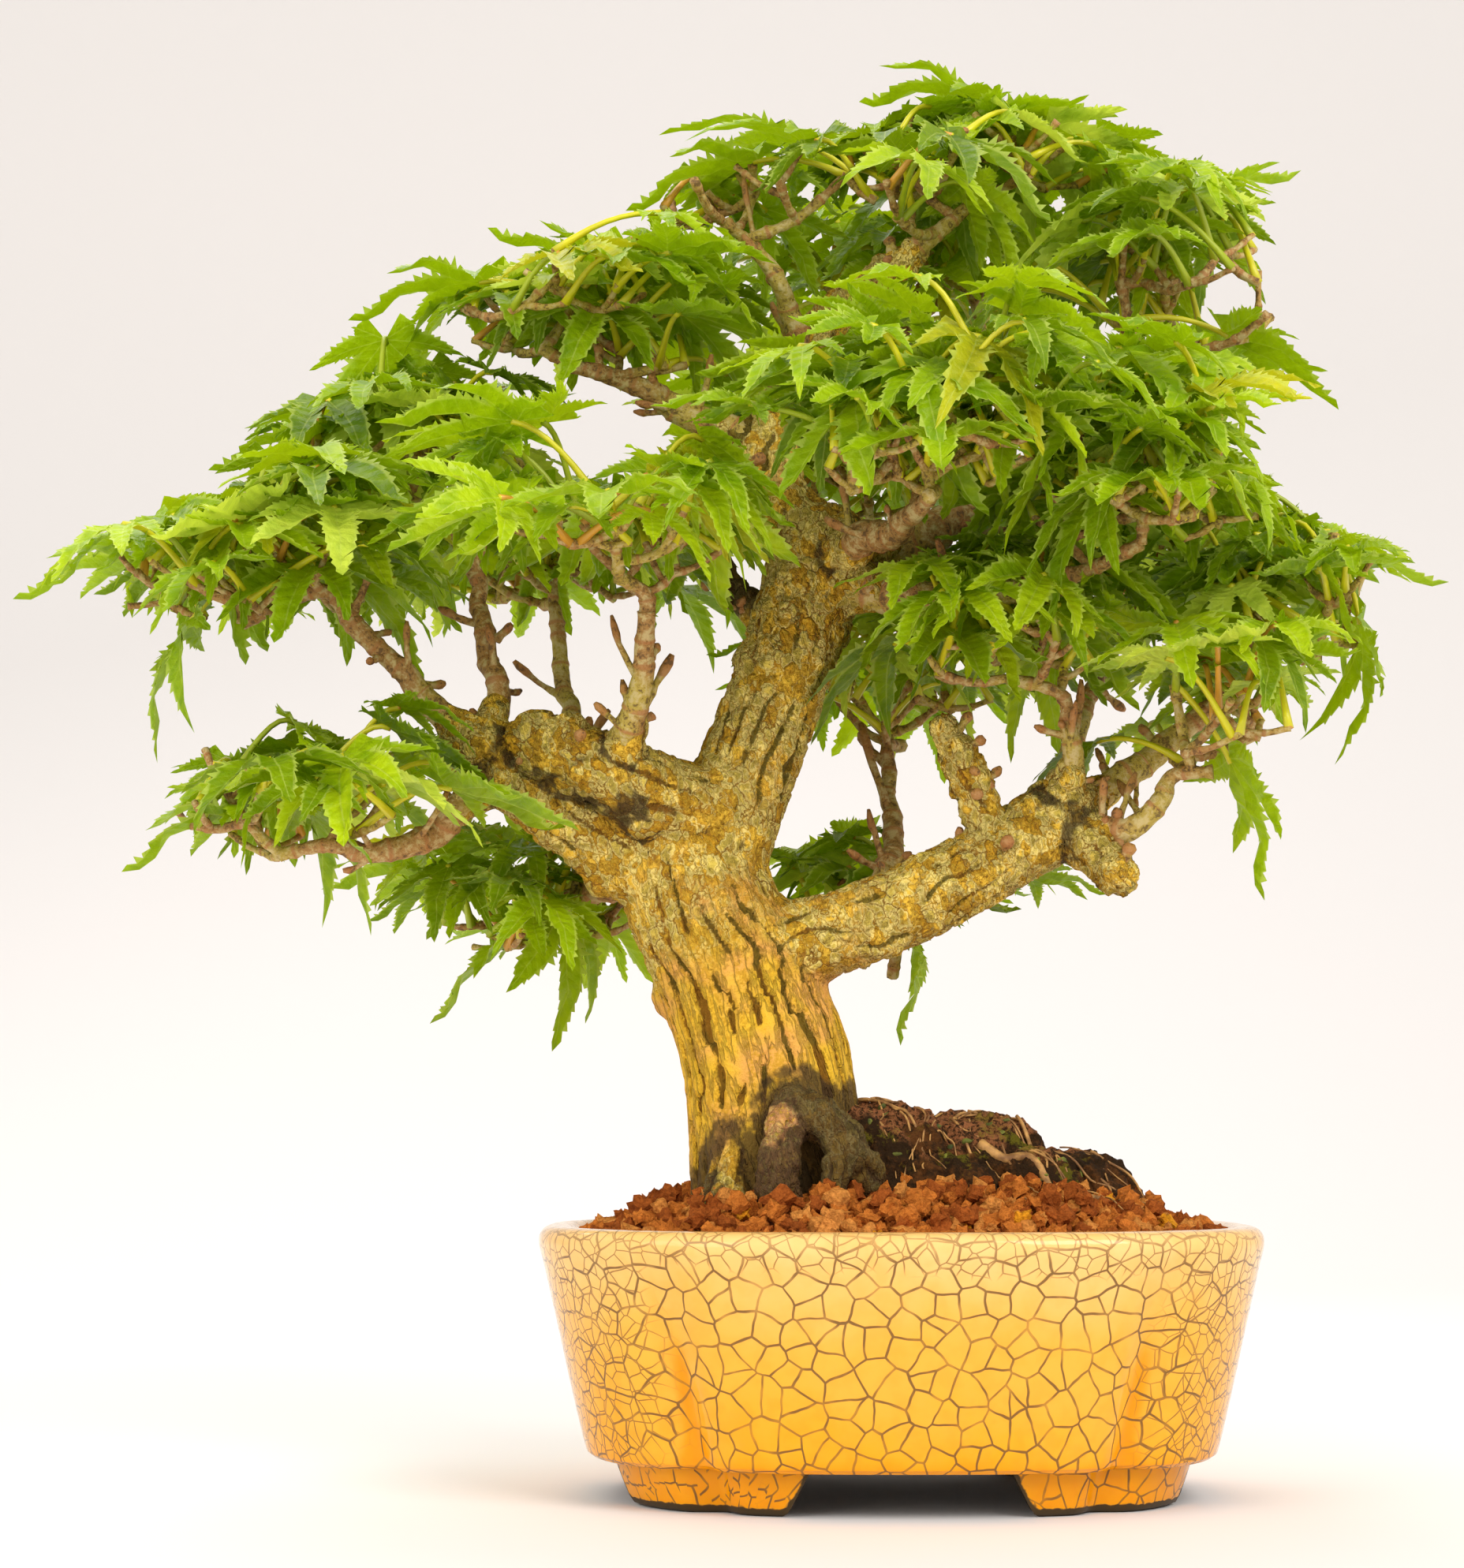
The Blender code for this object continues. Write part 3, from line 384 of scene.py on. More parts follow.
class Value:
    """A socket of a material's nodes, with the arithmetic that adds Math nodes."""

    def __init__(self, graph: "Graph", socket: NodeSocket) -> None:
        """Wraps a socket of a graph."""
        self.graph = graph
        self.socket = socket

    def maths(self, operation: str, *others: "Value | float") -> "Value":
        """The result of one Math node, with this value in its first socket."""
        values = dict(enumerate((self, *others)))
        return self.graph.node("ShaderNodeMath", {"operation": operation}, values)

    def __add__(self, other: "Value | float") -> "Value":
        """This value plus another."""
        return self.maths("ADD", other)

    def __sub__(self, other: "Value | float") -> "Value":
        """This value less another."""
        return self.maths("SUBTRACT", other)

    def __rsub__(self, other: float) -> "Value":
        """A number less this value."""
        return (self * -1.0) + other

    def __mul__(self, other: "Value | float") -> "Value":
        """This value times another."""
        return self.maths("MULTIPLY", other)

    def __truediv__(self, other: float) -> "Value":
        """This value divided by another."""
        return self.maths("DIVIDE", other)

    def __abs__(self) -> "Value":
        """This value without its sign."""
        return self.maths("ABSOLUTE")

    __radd__ = __add__
    __rmul__ = __mul__

    def between(self, low: float, high: float) -> "Value":
        """0 where this value is below low, 1 above high, and smooth between them."""
        values = {"Value": self, "From Min": low, "From Max": high}
        return self.graph.node("ShaderNodeMapRange", {"interpolation_type": "SMOOTHSTEP"}, values)

    def at_least(self, other: "Value | float") -> "Value":
        """The greater of this value and another."""
        return self.maths("MAXIMUM", other)


class Graph:
    """The nodes of one material, built by expressions."""

    def __init__(self, name: str) -> None:
        """Starts a material whose surface is one Principled shader.

        Args:
            name: the material's name.
        """
        self.material = bpy.data.materials.new(name)
        self.material.use_nodes = True
        self.tree = self.material.node_tree
        self.shader = self.tree.nodes["Principled BSDF"]
        self.end = self.tree.nodes["Material Output"]

    def node(self, kind: str, settings: dict, values: dict, output: int | str = 0) -> Value:
        """Adds any node.

        Args:
            kind: the node's type.
            settings: what is set on the node itself, first.
            values: what each input socket, by number or name, holds or is linked to.
            output: the output that is wanted, by number or name.

        Returns:
            That output.
        """
        node = self.tree.nodes.new(kind)
        for key, setting in settings.items():
            setattr(node, key, setting)
        for key, value in values.items():
            self.feed(node.inputs[key], value)
        return Value(self, node.outputs[output])

    def feed(self, socket: NodeSocket, value: "Value | float | tuple") -> None:
        """Links a value to a socket, or sets the socket to a number or colour."""
        if isinstance(value, Value):
            self.tree.links.new(value.socket, socket)
        else:
            socket.default_value = value

    def place(self) -> Value:
        """The place on the piece, in metres."""
        return self.node("ShaderNodeTexCoord", {}, {}, "Object")

    def along_trunk(self, spot: Value, stretch: float) -> Value:
        """A place turned to the trunk's lean, where patterns run that many times longer along it."""
        values = {"Vector": spot, "Rotation": (0.0, -0.26, 0.0), "Scale": (1.0, 1.0, stretch)}
        return self.node("ShaderNodeMapping", {"vector_type": "TEXTURE"}, values)

    def attribute(self, name: str) -> Value:
        """The number that the mesh holds at each point under a name."""
        return self.node("ShaderNodeAttribute", {"attribute_name": name}, {}, "Fac")

    def part(self, vector: Value, axis: str) -> Value:
        """One part, X, Y or Z, of a vector."""
        return self.node("ShaderNodeSeparateXYZ", {}, {0: vector}, axis)

    def grain(self, spot: Value, scale: float, detail: float = 3.0, roughness: float = 0.55) -> Value:
        """Noise from 0 to 1, by its cells to a metre, its finer layers and how strong they are."""
        values = {"Vector": spot, "Scale": scale, "Detail": detail, "Roughness": roughness}
        return self.node("ShaderNodeTexNoise", {}, values)

    def cells(self, spot: Value, scale: float, feature: str = "F1", output: str = "Distance") -> Value:
        """A cell pattern: by its feature the distance to a seed or edge, or a colour of each cell."""
        values = {"Vector": spot, "Scale": scale}
        return self.node("ShaderNodeTexVoronoi", {"feature": feature}, values, output)

    def crackle(self, spot: Value, scale: float) -> Value:
        """The distance to the nearest edge of a flat cell pattern, in cells."""
        settings = {"feature": "DISTANCE_TO_EDGE", "voronoi_dimensions": "2D"}
        return self.node("ShaderNodeTexVoronoi", settings, {"Vector": spot, "Scale": scale})

    def mixed(self, share: "Value | float", a: "Value | tuple", b: "Value | tuple") -> Value:
        """Colour a where the share is 0, and b where it is 1."""
        return self.node("ShaderNodeMix", {"data_type": "RGBA"}, {0: share, 6: a, 7: b}, 2)

    def tinted(self, a: "Value | tuple", b: "Value | tuple", share: float = 1.0) -> Value:
        """Colour a multiplied by colour b, by a share."""
        settings = {"data_type": "RGBA", "blend_type": "MULTIPLY"}
        return self.node("ShaderNodeMix", settings, {0: share, 6: a, 7: b}, 2)

    def moved(self, spot: Value, shift: Value, by: float) -> Value:
        """A place moved by a pattern's colour, less its middle, times a length."""
        away = self.node("ShaderNodeVectorMath", {"operation": "SUBTRACT"}, {0: shift, 1: (0.5, 0.5, 0.5)})
        far = self.node("ShaderNodeVectorMath", {"operation": "SCALE"}, {0: away, "Scale": by})
        return self.node("ShaderNodeVectorMath", {"operation": "ADD"}, {0: spot, 1: far})

    def relief(self, height: Value, distance: float) -> None:
        """Roughens the surface: a height of 1 stands out by the distance, in metres."""
        bump = self.node("ShaderNodeBump", {}, {"Height": height, "Distance": distance})
        self.feed(self.shader.inputs["Normal"], bump)

    def surface(self, **values: "Value | float | tuple") -> Material:
        """Sets the shader's own sockets.

        Args:
            values: each socket's name, with _ for a space, and its value.

        Returns:
            The material.
        """
        for key, value in values.items():
            self.feed(self.shader.inputs[key.replace("_", " ")], value)
        return self.material

    def lets_light_through(self, share: float, colour: Paint) -> None:
        """Mixes in light that passes through a thin blade.

        Args:
            share: how much of the light passes.
            colour: the colour that it takes on.
        """
        behind = self.node("ShaderNodeBsdfTranslucent", {}, {"Color": colour})
        front = Value(self, self.shader.outputs[0])
        both = self.node("ShaderNodeMixShader", {}, {0: share, 1: front, 2: behind})
        self.feed(self.end.inputs["Surface"], both)


# Finishes

@dataclass(frozen=True)
class Glaze:
    """A glossy crackle glaze, pale at the rim, amber where it pools, worn off under the feet."""

    cream: Paint = tint(250, 198, 124)
    honey: Paint = tint(248, 178, 62)
    amber: Paint = tint(248, 168, 14)
    deep: Paint = tint(240, 156, 2)
    crack: Paint = tint(112, 80, 42)
    clay: Paint = tint(70, 54, 28)
    large_cell: float = 5.9
    small_cell: float = 3.7

    def material(self) -> Material:
        """The glaze's nodes, which read the values "pool", "fine" and "bare"."""
        g = Graph("crackle_glaze")
        spot = g.place()
        flat = g.node("ShaderNodeUVMap", {"uv_map": "glaze"}, {})
        warp = g.node("ShaderNodeTexNoise", {}, {"Vector": flat, "Scale": 9.0, "Detail": 2.0}, "Color")
        bent = g.moved(flat, warp, 0.036)
        large = g.crackle(bent, 100.0 / self.large_cell)
        small = g.crackle(bent, 100.0 / self.small_cell)
        cloud = g.grain(spot, 42.0, 3.0)
        height = g.part(spot, "Z") / (POT_TOP * MM)
        worn = g.grain(spot, 150.0, 2.0)
        wide = (1.0 - large.between(0.026, 0.060)) * (worn.between(0.25, 0.6) * 0.5 + 0.5)
        where = (g.attribute("fine") + (cloud - 0.5) * 1.1).between(0.30, 0.62)
        line = wide.at_least((1.0 - small.between(0.022, 0.056)) * where * 0.8)
        colour = g.mixed((height + (cloud - 0.5) * 0.35).between(0.55, 1.05), self.honey, self.cream)
        colour = g.mixed((height * -1.0 + 0.62 + (cloud - 0.5) * 0.7).between(0.0, 0.6), colour, self.amber)
        pool = (g.attribute("pool") + (cloud - 0.5) * 0.7).between(0.35, 0.95)
        colour = g.mixed(pool, colour, self.deep)
        shade = g.grain(spot, 210.0, 2.0).between(0.35, 0.7) * 0.35
        colour = g.tinted(colour, g.mixed(shade, (1.0, 1.0, 1.0, 1.0), (0.93, 0.78, 0.5, 1.0)))
        faded = line * (1.0 - height.between(0.88, 1.0) * 0.35) * 0.92
        colour = g.mixed(faded, colour, self.crack)
        edge = (g.attribute("bare") + (g.grain(spot, 420.0, 2.0) - 0.5) * 0.5).between(0.42, 0.58)
        colour = g.mixed(edge, colour, self.clay)
        g.relief((1.0 - line * 0.6) * (1.0 - edge) + g.grain(spot, 60.0, 2.0) * 0.5, 0.00012)
        return g.surface(Base_Color=colour, Roughness=edge * 0.7 + line * 0.12 + 0.10,
                         Coat_Weight=0.35, Coat_Roughness=0.05, Specular_IOR_Level=0.1)


@dataclass(frozen=True)
class Bark:
    """Golden bark with olive furrows on the trunk; higher up, small plates rimmed with cream over ochre."""

    gold: Paint = tint(246, 194, 50)
    rose: Paint = tint(242, 176, 84)
    ochre: Paint = tint(208, 152, 26)
    tan: Paint = tint(248, 200, 66)
    pink: Paint = tint(214, 150, 98)
    brown: Paint = tint(132, 84, 12)
    olive: Paint = tint(98, 82, 8)
    plate: Paint = tint(224, 200, 92)
    rim: Paint = tint(255, 228, 134)
    dark: Paint = tint(66, 48, 26)

    def material(self) -> Material:
        """The bark's nodes, which read the values "furrow", "flaky", "rosy" and "damp"."""
        g = Graph("furrowed_bark")
        spot = g.place()
        warp = g.node("ShaderNodeTexNoise", {}, {"Vector": spot, "Scale": 300.0, "Detail": 4.0}, "Color")
        bent = g.moved(g.along_trunk(spot, 1.6), warp, 0.0044)
        cloud = g.grain(spot, 60.0, 3.0)
        fine = g.grain(spot, 1000.0, 4.0, 0.7)
        thread = g.grain(g.along_trunk(spot, 5.0), 330.0, 3.0, 0.6)
        line = 1.0 - abs(thread - 0.5).between(0.008, 0.050)
        edge = g.cells(bent, 360.0, "DISTANCE_TO_EDGE")
        cell = g.part(g.cells(bent, 360.0, "F1", "Color"), "X")
        flaky, furrow = g.attribute("flaky"), g.attribute("furrow")
        wide = g.grain(spot, 150.0, 3.0)
        torn = (wide + (fine - 0.5) * 0.5).between(0.42, 0.60)
        colour = g.mixed(cloud.between(0.38, 0.58), self.rose, self.gold)
        colour = g.mixed((fine + (thread - 0.5) * 0.8).between(0.45, 0.66) * 0.75, colour, self.ochre)
        colour = g.mixed(line * 0.4, colour, self.olive)
        skin = g.mixed((fine * 0.9 + wide * 0.4).between(0.50, 0.76), self.tan, self.ochre)
        skin = g.mixed((cell + (wide - 0.5) * 1.6).between(0.42, 0.62) * 0.75, skin, self.plate)
        rim = edge.between(0.02, 0.06) * (1.0 - edge.between(0.12, 0.24))
        skin = g.mixed(rim * (cell + fine - 0.5).between(0.30, 0.42) * 0.85, skin, self.rim)
        gap = (1.0 - (edge + (fine - 0.5) * 0.3).between(0.0, 0.09)) * (torn * 0.5 + 0.4)
        skin = g.mixed(gap, skin, self.brown)
        skin = g.mixed((fine - 0.5).between(0.03, 0.2) * 0.6, skin, self.brown)
        colour = g.mixed((flaky + (cloud - 0.5) * 0.9).between(0.22, 0.58), colour, skin)
        deep = (furrow * (1.0 - flaky * 0.62) + (thread - 0.5) * 1.0 + (fine - 0.5) * 0.7).between(0.30, 0.56)
        colour = g.mixed(deep * 0.88, colour, g.mixed(cloud.between(0.42, 0.6), self.olive, self.brown))
        colour = g.mixed(g.attribute("rosy") * fine.between(0.32, 0.55) * 0.8, colour, self.pink)
        # Darkens the bark by the damp value: its own darker foot, dead stub and root skin, and painted shade
        # in the crotches, in the band where roots join the trunk and under the arched root.
        damp_and_shade_share = (g.attribute("damp_and_shade") + (g.grain(spot, 320.0, 3.0) - 0.5) * 1.1).between(0.38, 0.80)
        colour = g.mixed(damp_and_shade_share * 0.86, colour, self.dark)
        plates = edge.between(0.0, 0.2) * torn * flaky * 0.9
        g.relief(fine * 0.7 + plates - line * 0.5 + cell * flaky * 0.6, 0.0012)
        return g.surface(Base_Color=colour, Roughness=0.66 + fine * 0.15, Specular_IOR_Level=0.25)


@dataclass(frozen=True)
class Twig:
    """Ringed young bark: olive to pinkish brown, scaly, with brown rings where each year's growth began."""

    olive: Paint = tint(184, 158, 66)
    brown: Paint = tint(172, 126, 66)
    grey: Paint = tint(204, 182, 126)
    ring: Paint = tint(172, 108, 54)
    dark: Paint = tint(84, 56, 30)

    def material(self) -> Material:
        """The twig's nodes, which read the value "ring"."""
        g = Graph("ringed_twig")
        spot = g.place()
        cloud = g.grain(spot, 45.0, 2.0)
        scale = g.grain(spot, 420.0, 3.0, 0.6)
        fine = g.grain(spot, 1500.0, 3.0, 0.6)
        colour = g.mixed(cloud.between(0.42, 0.56), self.olive, self.brown)
        colour = g.mixed((scale + fine * 0.3).between(0.62, 0.78) * 0.8, colour, self.grey)
        ring = (g.attribute("ring") + (scale - 0.5) * 1.4).between(0.45, 0.9)
        colour = g.mixed(ring * 0.75, colour, self.ring)
        colour = g.mixed((1.0 - (scale + (fine - 0.5) * 0.6).between(0.32, 0.46)) * 0.75, colour, self.dark)
        g.relief(fine * 0.6 + scale, 0.0006)
        return g.surface(Base_Color=colour, Roughness=0.62 + fine * 0.2)


@dataclass(frozen=True)
class Leaf:
    """A green blade with a pale midrib, pleats along its side veins and painted light and shade over them,
    that lets some light through.
    """

    name: str
    green: Paint
    rib: Paint = tint(216, 228, 110)

    def material(self) -> Material:
        """The blade's nodes, which read the place along and across a lobe from the map "blade"."""
        g = Graph(self.name)
        spot = g.place()
        uv = g.node("ShaderNodeUVMap", {"uv_map": "blade"}, {})
        along, across = g.part(uv, "X") * 40.0, abs(g.part(uv, "Y"))
        rib = 1.0 - across.between(0.02, 0.10)
        margin = across.between(0.80, 0.98)
        step = (along - across * 3.4) / 3.4
        wave = abs(step.maths("FRACT") - 0.5) * 2.0
        vein = wave.between(0.80, 1.0)
        # Painted light and shade: noise patches and the pleat stripes lighten and darken the blade, as light
        # does on a crumpled, pleated leaf.
        cloud = g.grain(spot, 120.0, 2.0)
        light = (cloud + wave * 0.06).between(0.30, 0.72)
        shade = g.mixed(light, (0.56, 0.68, 0.52, 1.0), (1.16, 1.12, 1.1, 1.0))
        colour = g.tinted(self.green, shade)
        colour = g.mixed(vein * 0.10 + rib * 0.40 + margin * 0.52, colour, self.rib)
        g.relief(wave * -0.3 + g.grain(spot, 300.0, 3.0) * 1.6, 0.0007)
        glow = [min(c * k, 1.0) for c, k in zip(self.green, (1.35, 1.3, 0.8))]
        g.lets_light_through(0.34, (*glow, 1.0))
        return g.surface(Base_Color=colour, Roughness=0.42, Specular_IOR_Level=0.24)


class LeafTint(Enum):
    """The greens that the sprays are dealt, with how common each is."""

    DEEP = ("leaf_deep", tint(124, 152, 6), 0.24)
    GREEN = ("leaf_green", tint(152, 182, 8), 0.38)
    FRESH = ("leaf_fresh", tint(178, 204, 18), 0.26)
    LIME = ("leaf_lime", tint(206, 224, 80), 0.09)
    WARM = ("leaf_warm", tint(198, 196, 28), 0.03)


@dataclass(frozen=True)
class Stalk:
    """A smooth leaf stalk of one plain hue with a little mottling."""

    name: str
    colour: Paint

    def material(self) -> Material:
        """The stalk's nodes."""
        g = Graph(self.name)
        cloud = g.grain(g.place(), 220.0, 2.0)
        colour = g.tinted(self.colour, g.mixed(cloud, (0.75, 0.72, 0.6, 1.0), (1.2, 1.2, 1.2, 1.0)))
        return g.surface(Base_Color=colour, Roughness=0.4)


class StalkTint(Enum):
    """The hues that the leaf stalks are dealt, with how common each is."""

    LIME = ("stalk_lime", tint(214, 206, 30), 0.64)
    GREEN = ("stalk_green", tint(168, 182, 34), 0.22)
    RED = ("stalk_red", tint(214, 156, 52), 0.14)


@dataclass(frozen=True)
class Granule:
    """A fired clay granule: matt, porous and dusty."""

    name: str
    colour: Paint

    def material(self) -> Material:
        """The granule's nodes."""
        g = Graph(self.name)
        spot = g.place()
        fine = g.grain(spot, 1100.0, 4.0, 0.7)
        cloud = g.grain(spot, 260.0, 2.0)
        colour = g.tinted(self.colour, g.mixed(cloud, (0.55, 0.5, 0.46, 1.0), (1.3, 1.25, 1.2, 1.0)))
        dust = g.mixed(fine.between(0.3, 0.7), (0.62, 0.55, 0.5, 1.0), (1.15, 1.15, 1.15, 1.0))
        colour = g.tinted(colour, dust)
        g.relief(fine + cloud, 0.0012)
        return g.surface(Base_Color=colour, Roughness=0.92, Specular_IOR_Level=0.1)


class GranuleTint(Enum):
    """The clays that the granules are dealt, with how common each is."""

    RUST = ("granule_rust", tint(220, 132, 54), 0.40)
    BROWN = ("granule_brown", tint(180, 98, 40), 0.36)
    ORANGE = ("granule_orange", tint(238, 160, 78), 0.21)
    OCHRE = ("granule_ochre", tint(250, 172, 40), 0.03)


@dataclass(frozen=True)
class OldRoot:
    """Dark, fibrous old root wood with a red-brown crust on top and moss in its hollows."""

    dark: Paint = tint(52, 34, 16)
    brown: Paint = tint(100, 60, 26)
    crust: Paint = tint(156, 98, 60)
    moss: Paint = tint(118, 112, 24)

    def material(self) -> Material:
        """The root's nodes, which read the value "crest"."""
        g = Graph("old_root_wood")
        spot = g.place()
        fine = g.grain(spot, 750.0, 4.0, 0.7)
        cloud = g.grain(spot, 130.0, 3.0)
        colour = g.mixed((cloud + (fine - 0.5) * 0.8).between(0.42, 0.72), self.dark, self.brown)
        crest = (g.attribute("crest") + (cloud - 0.5) * 1.1).between(0.55, 0.8)
        colour = g.mixed(crest * fine.between(0.40, 0.56), colour, self.crust)
        green = (g.grain(spot, 95.0, 2.0) + (fine - 0.5) * 0.5).between(0.60, 0.70)
        colour = g.mixed(green * 0.6, colour, self.moss)
        g.relief(fine + g.cells(spot, 600.0) * 0.5, 0.0018)
        return g.surface(Base_Color=colour, Roughness=0.86, Specular_IOR_Level=0.12)


@dataclass(frozen=True)
class SoilBed:
    """The dark bed of crumbs under the granules."""

    def material(self) -> Material:
        """The bed's nodes."""
        g = Graph("soil_bed")
        spot = g.place()
        crumbs = g.cells(spot, 230.0)
        colour = g.mixed(crumbs.between(0.1, 0.7), tint(150, 78, 34), tint(70, 36, 14))
        g.relief(1.0 - crumbs + g.grain(spot, 700.0, 3.0) * 0.4, 0.0018)
        return g.surface(Base_Color=colour, Roughness=0.95)


@dataclass(frozen=True)
class Mottled:
    """A matt finish of two hues that run into each other in small spots."""

    name: str
    spots: float
    low: float
    first: Paint
    second: Paint
    roughness: float

    def material(self) -> Material:
        """The finish's nodes."""
        g = Graph(self.name)
        cloud = g.grain(g.place(), self.spots, 3.0)
        colour = g.mixed(cloud.between(self.low, 1.0 - self.low), self.first, self.second)
        return g.surface(Base_Color=colour, Roughness=self.roughness)


FINE_ROOT = Mottled("fine_root", 300.0, 0.35, tint(200, 148, 80), tint(124, 82, 40), 0.7)
MOSS = Mottled("moss", 400.0, 0.3, tint(58, 64, 16), tint(122, 122, 34), 0.8)


def skin_of(parts: list[Surface], name: str, voxel: float) -> Object:
    """Closed surfaces run together into one skin of even squares.

    Args:
        parts: the closed surfaces.
        name: the object's name.
        voxel: the squares' size.

    Returns:
        The skin, as an object.
    """
    thing = joined(parts).piece(name, [])
    change = thing.modifiers.new("skin", "REMESH")
    change.mode = "VOXEL"
    change.voxel_size = voxel * MM
    bpy.context.view_layer.update()
    mesh = bpy.data.meshes.new_from_object(thing.evaluated_get(bpy.context.evaluated_depsgraph_get()))
    thing.modifiers.remove(change)
    thing.data = mesh
    mesh.name = name
    return thing


def read_skin(mesh: Mesh) -> tuple[Array, Array]:
    """The points of a mesh, in millimetres, and its normals there."""
    places, normals = np.zeros((2, len(mesh.vertices) * 3), np.float32)
    mesh.vertices.foreach_get("co", places)
    mesh.vertices.foreach_get("normal", normals)
    return places.reshape(-1, 3).astype(float) / MM, normals.reshape(-1, 3).astype(float)


def dress_skin(thing: Object, points: Array, values: dict[str, Array],
               material: Material) -> None:
    """Moves a skin's points to their places, and gives it its values and its material.

    Args:
        thing: the skin.
        points: the new places, in millimetres.
        values: what is known at each point.
        material: the finish.
    """
    mesh = thing.data
    for key, numbers in values.items():
        set_values(mesh, key, numbers)
    mesh.vertices.foreach_set("co", (points * MM).astype(np.float32).ravel())
    mesh.polygons.foreach_set("use_smooth", np.ones(len(mesh.polygons), bool))
    mesh.update()
    mesh.materials.clear()
    mesh.materials.append(material)


# The pot

@dataclass
class Pot:
    """The bowl with its four grooves and rounded rim, and the four corner feet it stands on."""

    columns: int = 288
    foot_height: float = 10.0
    foot_inset: float = 16.7
    foot_lean: float = 2.8
    foot_thick: float = 10.0
    cut_front: float = 22.0
    cut_side: float = 18.0
    cut_slope: float = 5.5
    foot_steps: int = 28

    def outline(self, turn: Array, inset: float, groove: float) -> Array:
        """The plan: a squared oval, x = a sgn(cos t)|cos t|^(2/n), drawn in at each groove by a bell curve.

        Args:
            turn: the turns at which it is worked out.
            inset: how far it lies in from the rim's edge.
            groove: how deep the grooves are.

        Returns:
            x and y at each turn.
        """
        power = 2.0 / POT_SQUARENESS
        across, along = np.cos(turn), np.sin(turn)
        x = (POT_HALF_WIDTH - inset) * np.sign(across) * np.abs(across) ** power
        y = (POT_HALF_DEPTH - inset) * np.sign(along) * np.abs(along) ** power
        drawn = 1.0 - groove * self.bell(turn) / np.hypot(x, y)
        return np.column_stack((POT_X + x * drawn, y * drawn))

    @staticmethod
    def bell(turn: Array) -> Array:
        """1 in the middle of a groove, falling away to both sides by a bell curve."""
        return np.exp(-(((Pot.quarter(turn) - GROOVE_TURN) / GROOVE_SPREAD) ** 2))

    @staticmethod
    def quarter(turn: Array) -> Array:
        """A turn brought back to the first quarter of the plan."""
        return np.arctan2(np.abs(np.sin(turn)), np.abs(np.cos(turn)))

    def bowl(self) -> Surface:
        """Rings of the plan, one for each row of a smooth profile of inset, height and groove depth."""
        low = self.foot_height
        rows = ((30.0, low, 0.0), (15.0, low, 4.5), (12.0, low + 0.8, 4.6), (10.8, low + 3.0, 4.6),
                (7.6, 26.0, 4.2), (4.4, 40.0, 3.0), (1.4, 53.0, 1.2), (0.0, POT_TOP - 4.0, 0.2),
                (0.5, POT_TOP - 1.3, 0.0), (2.4, POT_TOP, 0.0), (6.4, POT_TOP, 0.0),
                (8.6, POT_TOP - 1.8, 0.0), (9.2, POT_TOP - 6.0, 0.0), (12.0, 40.0, 0.0))
        profile = smooth_path(np.array(rows), 5)
        turn = np.linspace(0.5 * math.pi, 2.5 * math.pi, self.columns, endpoint=False)
        rings = [np.column_stack((self.outline(turn, inset, groove), np.full(self.columns, z)))
                 for inset, z, groove in profile]
        quads, caps = loft(len(rings), self.columns)
        heights = np.repeat(profile[:, 1], self.columns)
        grooves = np.tile(self.bell(turn), len(rings))
        above = (heights - low) / (POT_TOP - low)
        pool = grooves**3 * (1.0 - smooth_step(0.35, 0.80, above)) + 0.7 * np.exp(-(above / 0.10) ** 2)
        side = self.quarter(turn)
        ends = np.tile(1.0 - smooth_step(GROOVE_TURN - 0.3, GROOVE_TURN + 0.35, side), len(rings))
        fine = np.maximum(0.75 * ends, smooth_step(0.72, 0.98, above))
        bare = np.where(np.repeat(profile[:, 0], self.columns) > 13.0, 1.0, 0.0) * (heights < low + 0.7)
        middle = self.outline(turn, 5.0, 0.0)
        glaze = flat_map(np.vstack((middle, middle[:1])), profile[:, :2])
        return Surface(np.concatenate(rings), [quads, caps], {"pool": pool, "fine": fine, "bare": bare},
                       {"glaze": [glaze, np.zeros((2 * self.columns, 2))]})

    def foot(self, side: float, back: float) -> Surface:
        """One corner foot: a bent bar whose outer face leans in and whose ends are cut at a slope.

        Args:
            side: 1 for the right feet and -1 for the left.
            back: 1 for the back feet and -1 for the front.

        Returns:
            The foot, as a closed loft of rounded sections from one end to the other.
        """
        top, low = self.foot_height + 0.8, 0.0
        levels = np.array((top, 7.5, 4.8, 2.2, 0.7, low))
        share = (top - levels) / (top - low)
        shelf = np.array((0.0, 0.0, 0.0, 0.0, 0.3, 1.5))
        strips = []
        for inward in (0.0, 1.0):
            for fall, z, rounding in zip(share, levels, shelf):
                inset = self.foot_inset + self.foot_lean * fall
                inset += self.foot_thick - rounding if inward else rounding
                turns = self.turns(self.cut_slope * fall + rounding * 0.6, inset)
                plan = self.outline(turns, inset, 1.0 if inward else 4.0)
                plan = np.column_stack(((plan[:, 0] - POT_X) * side + POT_X, plan[:, 1] * back))
                strips.append(np.column_stack((plan, np.full(self.foot_steps, z))))
        order = list(range(6)) + list(range(11, 5, -1))
        points = np.stack([strips[k] for k in order], axis=1)
        quads, caps = loft(self.foot_steps, 12)
        if side * back > 0.0:
            quads, caps = quads[:, ::-1], caps[:, ::-1]
        round_it = np.concatenate((points[0, :, 1:], points[0, :1, 1:]))
        glaze = flat_map(round_it, points[:, 0, :2]) + (2.0 + side, 3.0 + back)
        heights = points[:, :, 2].ravel()
        ends = np.zeros(points.shape[:2])
        ends[[0, -1]] = 0.75
        bare = np.maximum(1.0 - smooth_step(0.6, 3.4, heights), ends.ravel())
        return Surface(points.reshape(-1, 3), [quads, caps],
                       {"pool": np.full(len(bare), 0.85), "fine": np.full(len(bare), 0.2), "bare": bare},
                       {"glaze": [glaze, np.zeros((24, 2))]})

